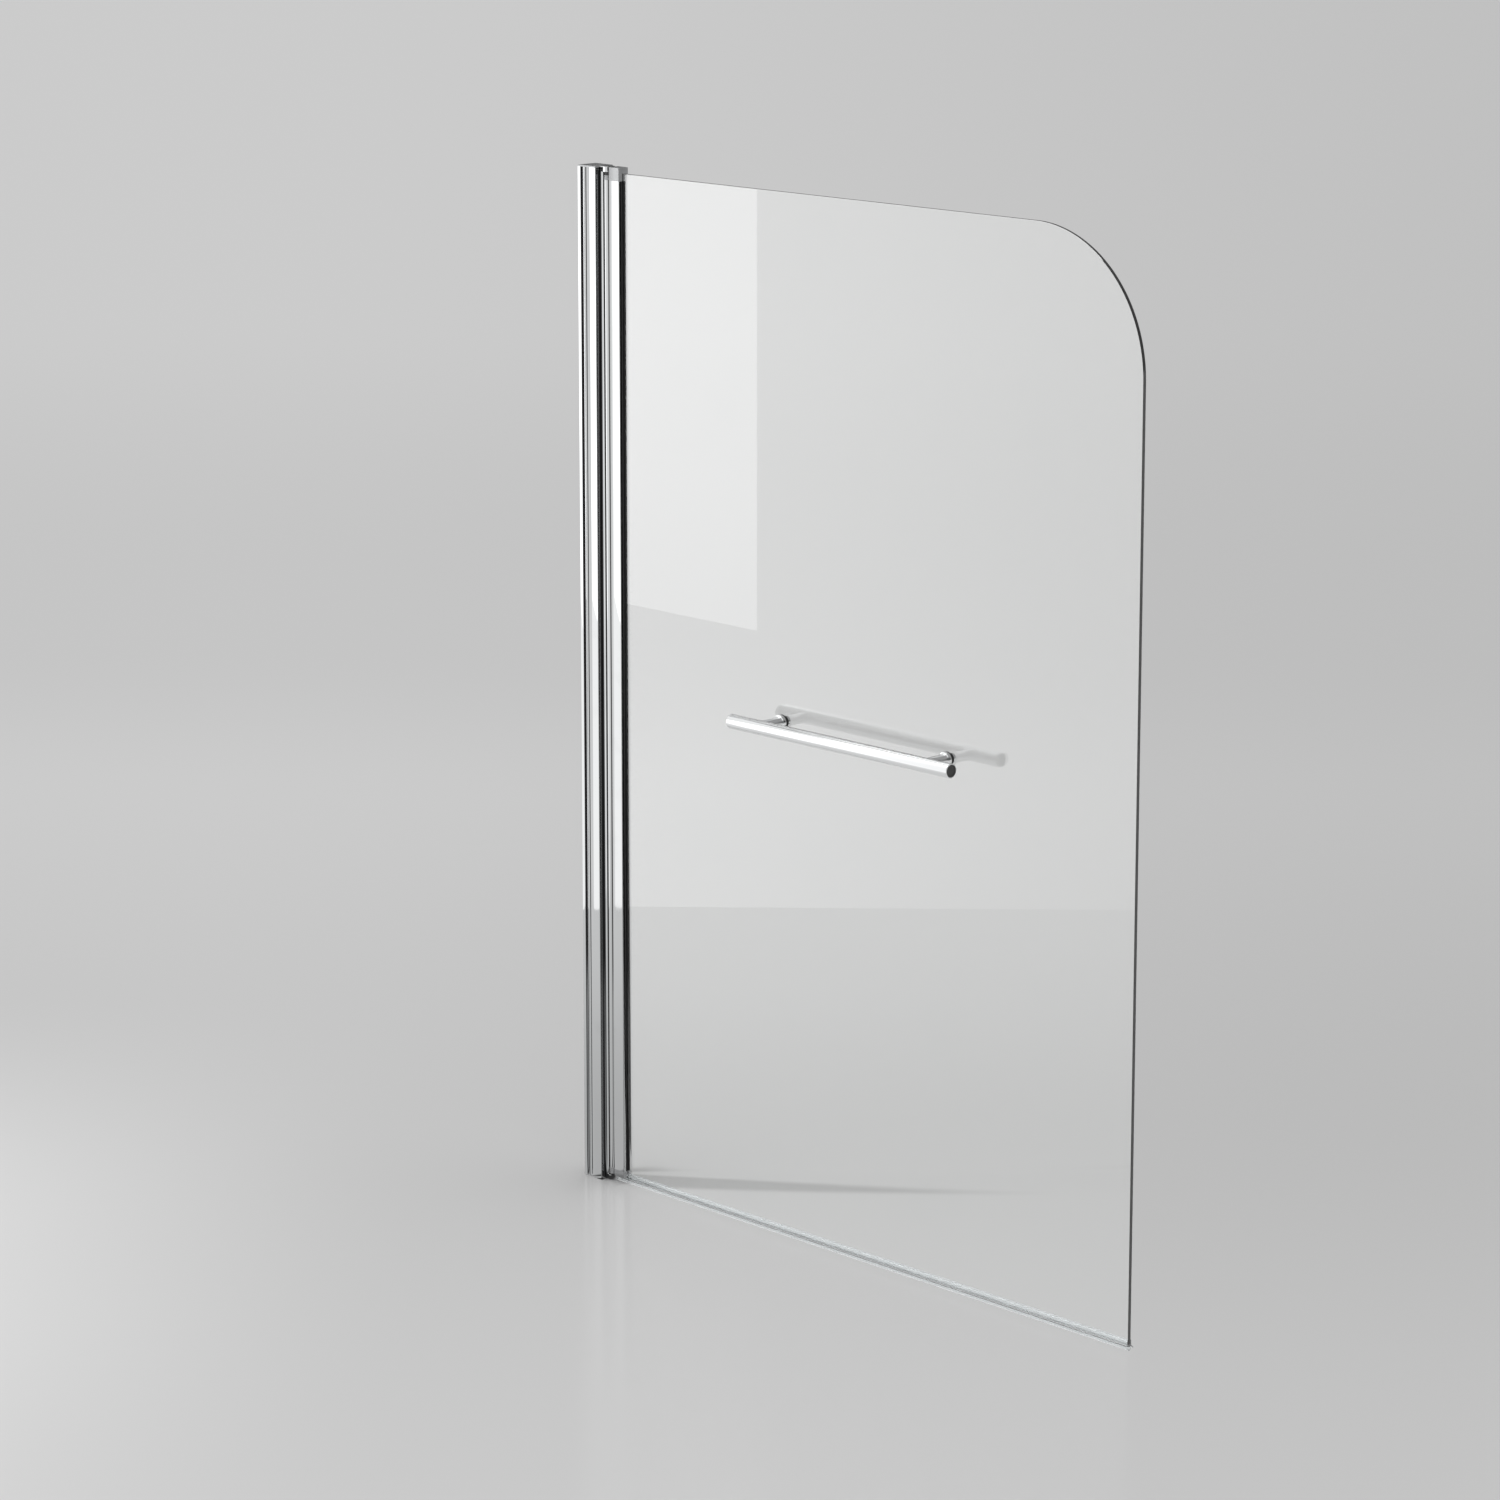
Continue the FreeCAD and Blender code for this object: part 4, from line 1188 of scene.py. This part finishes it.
@dataclass
class Studio:
    """Floor, reflected panels, world and camera. Sizes in metres."""

    floor_radius: float = 40.0
    floor_drop: float = 0.0006
    away_from_viewer: tuple[float, float, float] = (-0.7133, 0.7009, 0)
    viewer_right: tuple[float, float, float] = (0.7009, 0.7133, 0)
    viewer_distance: float = 6.42
    profiles: tuple[float, float, float] = (0.05, 0.0, 0.0)
    dark_sectors: tuple[DarkSector, ...] = (
        DarkSector(-34, 28, 10, 0.06),
        DarkSector(128, 34, 10, 0.08, also_far=True),
        DarkSector(39.5, 6.6, 0.4, 0.0),
    )
    card_low: float = 0.024
    card_high: float = 2.6
    window_low: float = 0.553
    window_high: float = 2.2
    lens: float = 115.674
    lens_shift: float = -0.08
    yaw: float = 136.5253
    pitch: float = 11.3403
    viewpoint: tuple[float, float, float] = (4.8042, -4.2554, 2.053)

    def staged(self, name: str, bm: bmesh.types.BMesh) -> tuple[bpy.types.Object, Graph]:
        """Makes an object that isn't part of the screen.

        Args:
            name: the name of the object and its material.
            bm: its mesh, which is freed.

        Returns:
            The object and its material's empty tree.
        """
        made = object_of(bm, name)
        material = bpy.data.materials.new(name)
        material.use_nodes = True
        made.data.materials.append(material)
        return made, Graph(material.node_tree)

    def floor(self) -> None:
        """A wide pale floor whose grey carries painted light and shade that change with the place; mirrors see a
        painted reflection instead.
        """
        bm = bmesh.new()
        bmesh.ops.create_circle(bm, cap_ends=True, segments=96, radius=self.floor_radius)
        bmesh.ops.translate(bm, verts=bm.verts[:], vec=(0, 0, -self.floor_drop))
        _, graph = self.staged("studio_floor", bm)
        where = graph.place()
        behind = graph.along(where, self.away_from_viewer)
        shaded = graph.add("ShaderNodeBsdfPrincipled", {}, {
            "Base Color": self.floor_grey_and_painted_light(graph, behind, graph.along(where, self.viewer_right)),
            "Roughness": 0.6,
            "Specular IOR Level": 0.0,
            "Coat Weight": 0.30 * (1.0 - behind.smooth(0.2, 2.5)),
            "Coat Roughness": 0.14,
        })
        # painted reflection: mirror rays see an emission instead of the lit floor
        painted_reflection = graph.add("ShaderNodeEmission", {}, {"Color": self.painted_floor_reflection(graph, where)})
        mixed = graph.add("ShaderNodeMixShader", {}, {0: graph.mirror_ray(), 1: shaded, 2: painted_reflection})
        graph.add_output("ShaderNodeOutputMaterial", mixed)

    def floor_grey_and_painted_light(self, graph: Graph, behind: Wire, right: Wire) -> Wire:
        """The floor's grey with painted light and shade: painted shade to the right and in a band further back,
        painted light near the viewer and near the lower left.

        Args:
            graph: the material's tree.
            behind: metres behind the screen, away from the viewer.
            right: metres to the viewer's right.

        Returns:
            The colour.
        """
        # painted shade towards the viewer's right
        sweep = right / (behind + self.viewer_distance).at_least(4.0)
        tone = graph.colour_mix(sweep.smooth(-0.1, 0.2), grey(0.60), grey(0.525))
        # painted shade in a band further back
        painted_shade_band = behind.smooth(2.2, 3.6) * (1.0 - behind.smooth(4.5, 9.0))
        tone = graph.colour_mix(painted_shade_band * 0.3, tone, grey(0.47))
        # painted light near the viewer
        painted_near_light = 1.0 - behind.smooth(-1.3, 0.3)
        tone = graph.colour_mix(painted_near_light * 0.35, tone, grey(0.66))
        # painted light: a brighter glow near the lower left
        glow = (1.0 - sweep.smooth(-0.19, -0.03)) * (1.0 - behind.smooth(-0.25, 0.95))
        fade = (0.55 + 0.45 * behind.smooth(-1.4, -0.5)) * behind.smooth(-3.5, -1.2)
        return graph.colour_mix(glow * fade, tone, grey(0.80))

    def painted_floor_reflection(self, graph: Graph, where: Wire) -> Wire:
        """Painted reflection: what mirrors see of the floor is an emission, a bright front left and dark sectors, in
        place of the lit floor.

        Args:
            graph: the material's tree.
            where: the place on the floor.

        Returns:
            The light.
        """
        turn = graph.turn(where)
        far = graph.along(where, (-0.707, -0.707, 0)).smooth(0.1, 1.4)
        light = graph.colour_mix(far, grey(0.75), grey(1.0))
        own = self.from_profiles(graph, where, turn)
        own_or_far = own.at_least(graph.distance(where, self.profiles).smooth(0.95, 1.25))
        # painted dark reflections inside the sectors
        for sector in self.dark_sectors:
            light = sector.over(graph, turn, own_or_far if sector.also_far else own, light)
        return light

    def from_profiles(self, graph: Graph, where: Wire, turn: Wire) -> Wire:
        """1 for a reflection that set out from the profiles, told by its length.

        Near the direction in which the pane's own reflections have the same length, it is 0.

        Args:
            graph: the material's tree.
            where: the place on the floor.
            turn: the direction of the place from the wall's foot, in radians.

        Returns:
            The share, which falls to 0 for reflections in the pane further along.
        """
        reach = graph.distance(where, self.profiles)
        gap = (0.98 * graph.path("Ray Length") - reach).size()
        same_length = turn.sector(-43, 6, 2) * (1.0 - reach.smooth(0.85, 1.2))
        return (1.0 - (gap / (0.03 + 0.017 * reach)).smooth(0.8, 1.6)) * (1.0 - same_length)

    def panel(
        self,
        name: str,
        ends: tuple[Point, Point],
        heights: tuple[float, float],
        tones: Callable[[Graph, Wire], Value],
    ) -> None:
        """An upright light card that shows only in reflections.

        Args:
            name: the card's name.
            ends: where its two ends stand, in metres.
            heights: its lower and upper edge, in metres.
            tones: gives its light from the graph and the place, with 1 as white.
        """
        bm = bmesh.new()
        (first, second), (low, high) = ends, heights
        corners = [(*first, low), (*second, low), (*second, high), (*first, high)]
        bm.faces.new([bm.verts.new(corner) for corner in corners])
        made, graph = self.staged(name, bm)
        glow = graph.add("ShaderNodeEmission", {}, {"Color": tones(graph, graph.place())})
        graph.add_output("ShaderNodeOutputMaterial", glow)
        for ray in ("camera", "diffuse", "transmission", "shadow", "volume_scatter"):
            setattr(made, f"visible_{ray}", False)

    def cards(self) -> None:
        """The bright wall on the left and the window in front of it."""

        def wall_tones(graph: Graph, where: Wire) -> Wire:
            """Wall light: dimmer to the far left, brightest opposite the hinge."""
            x = graph.along(where, (1, 0, 0))
            light = graph.colour_mix(x.smooth(-1.09, -1.04), grey(1.1), grey(1.65))
            return graph.colour_mix(x.smooth(-0.95, -0.3), light, grey(1.25))

        def window_tones(graph: Graph, where: Wire) -> Wire:
            """Window light, a little softer to its foot."""
            z = graph.along(where, (0, 0, 1))
            return graph.colour_mix(z.smooth(0.5, 0.8), grey(2.5), grey(2.75))

        wall_ends = ((-2.6, 0.67), (0.9, -2.83))
        window_ends = ((-1.5, -0.9), (-0.612, -0.9))
        self.panel("left_wall_card", wall_ends, (self.card_low, self.card_high), wall_tones)
        self.panel("window_card", window_ends, (self.window_low, self.window_high), window_tones)

    def world(self) -> None:
        """Even pale light, and for reflections a studio with bright and dark sides."""
        world = bpy.data.worlds.new("studio")
        world.use_nodes = True
        bpy.context.scene.world = world
        graph = Graph(world.node_tree)
        seen = graph.path("Is Camera Ray").at_least(graph.path("Is Transmission Ray"))
        way = graph.add("ShaderNodeTexCoord", {}, {}, "Generated")
        turn = graph.turn(way)
        low = 1.0 - graph.along(way, (0, 0, 1)).smooth(0.3, 0.65)
        studio = graph.colour_mix(turn.sector(-140, 34, 6), grey(0.38), grey(2.0))
        for sector in self.dark_sectors:
            studio = sector.over(graph, turn, low, studio)
        plain = graph.colour_mix(seen, grey(1.0), grey(0.56))
        light = graph.colour_mix(graph.mirror_ray(), plain, studio)
        back = graph.add("ShaderNodeBackground", {}, {"Color": light, "Strength": 1.0})
        graph.add_output("ShaderNodeOutputWorld", back)

    def camera(self) -> None:
        """The photograph's viewpoint, from a fit to the glass edges and the profiles."""
        data = bpy.data.cameras.new("photo_view")
        data.lens = self.lens
        data.sensor_width = 36.0
        data.shift_y = self.lens_shift
        data.clip_end = 200.0
        made = bpy.data.objects.new("photo_view", data)
        bpy.context.scene.collection.objects.link(made)
        yaw, pitch = math.radians(self.yaw), math.radians(self.pitch)
        forward = Vector((math.cos(yaw) * math.cos(pitch), math.sin(yaw) * math.cos(pitch), -math.sin(pitch)))
        made.rotation_euler = forward.to_track_quat("-Z", "Y").to_euler()
        made.location = self.viewpoint
        bpy.context.scene.camera = made

    def build(self) -> None:
        """Sets up the studio."""
        self.camera()
        self.world()
        self.floor()
        self.cards()
        bpy.context.scene.view_settings.view_transform = "Standard"


def dress_cad_nodes() -> None:
    """Gives every CAD node the finish of its own slot."""
    finishes = {finish.slot: finish for finish in FINISHES}
    slots = {part["node"]: part["material_slot"] for part in frame["record"]["subparts"]}
    for name, node in frame["nodes"].items():
        material = finishes[slots[name]].material()
        node.data.materials.clear()
        node.data.materials.append(material)


def main() -> None:
    """Builds the studio and the screen."""
    logging.basicConfig(level=logging.INFO, format="%(name)s: %(message)s")
    Studio().build()
    dress_cad_nodes()
    for part in (WallSide(), PivotPost(), ClampAndCaps(), PaneAndSeal(), TowelBar()):
        part.build()
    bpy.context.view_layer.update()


if __name__ == "__main__":
    main()
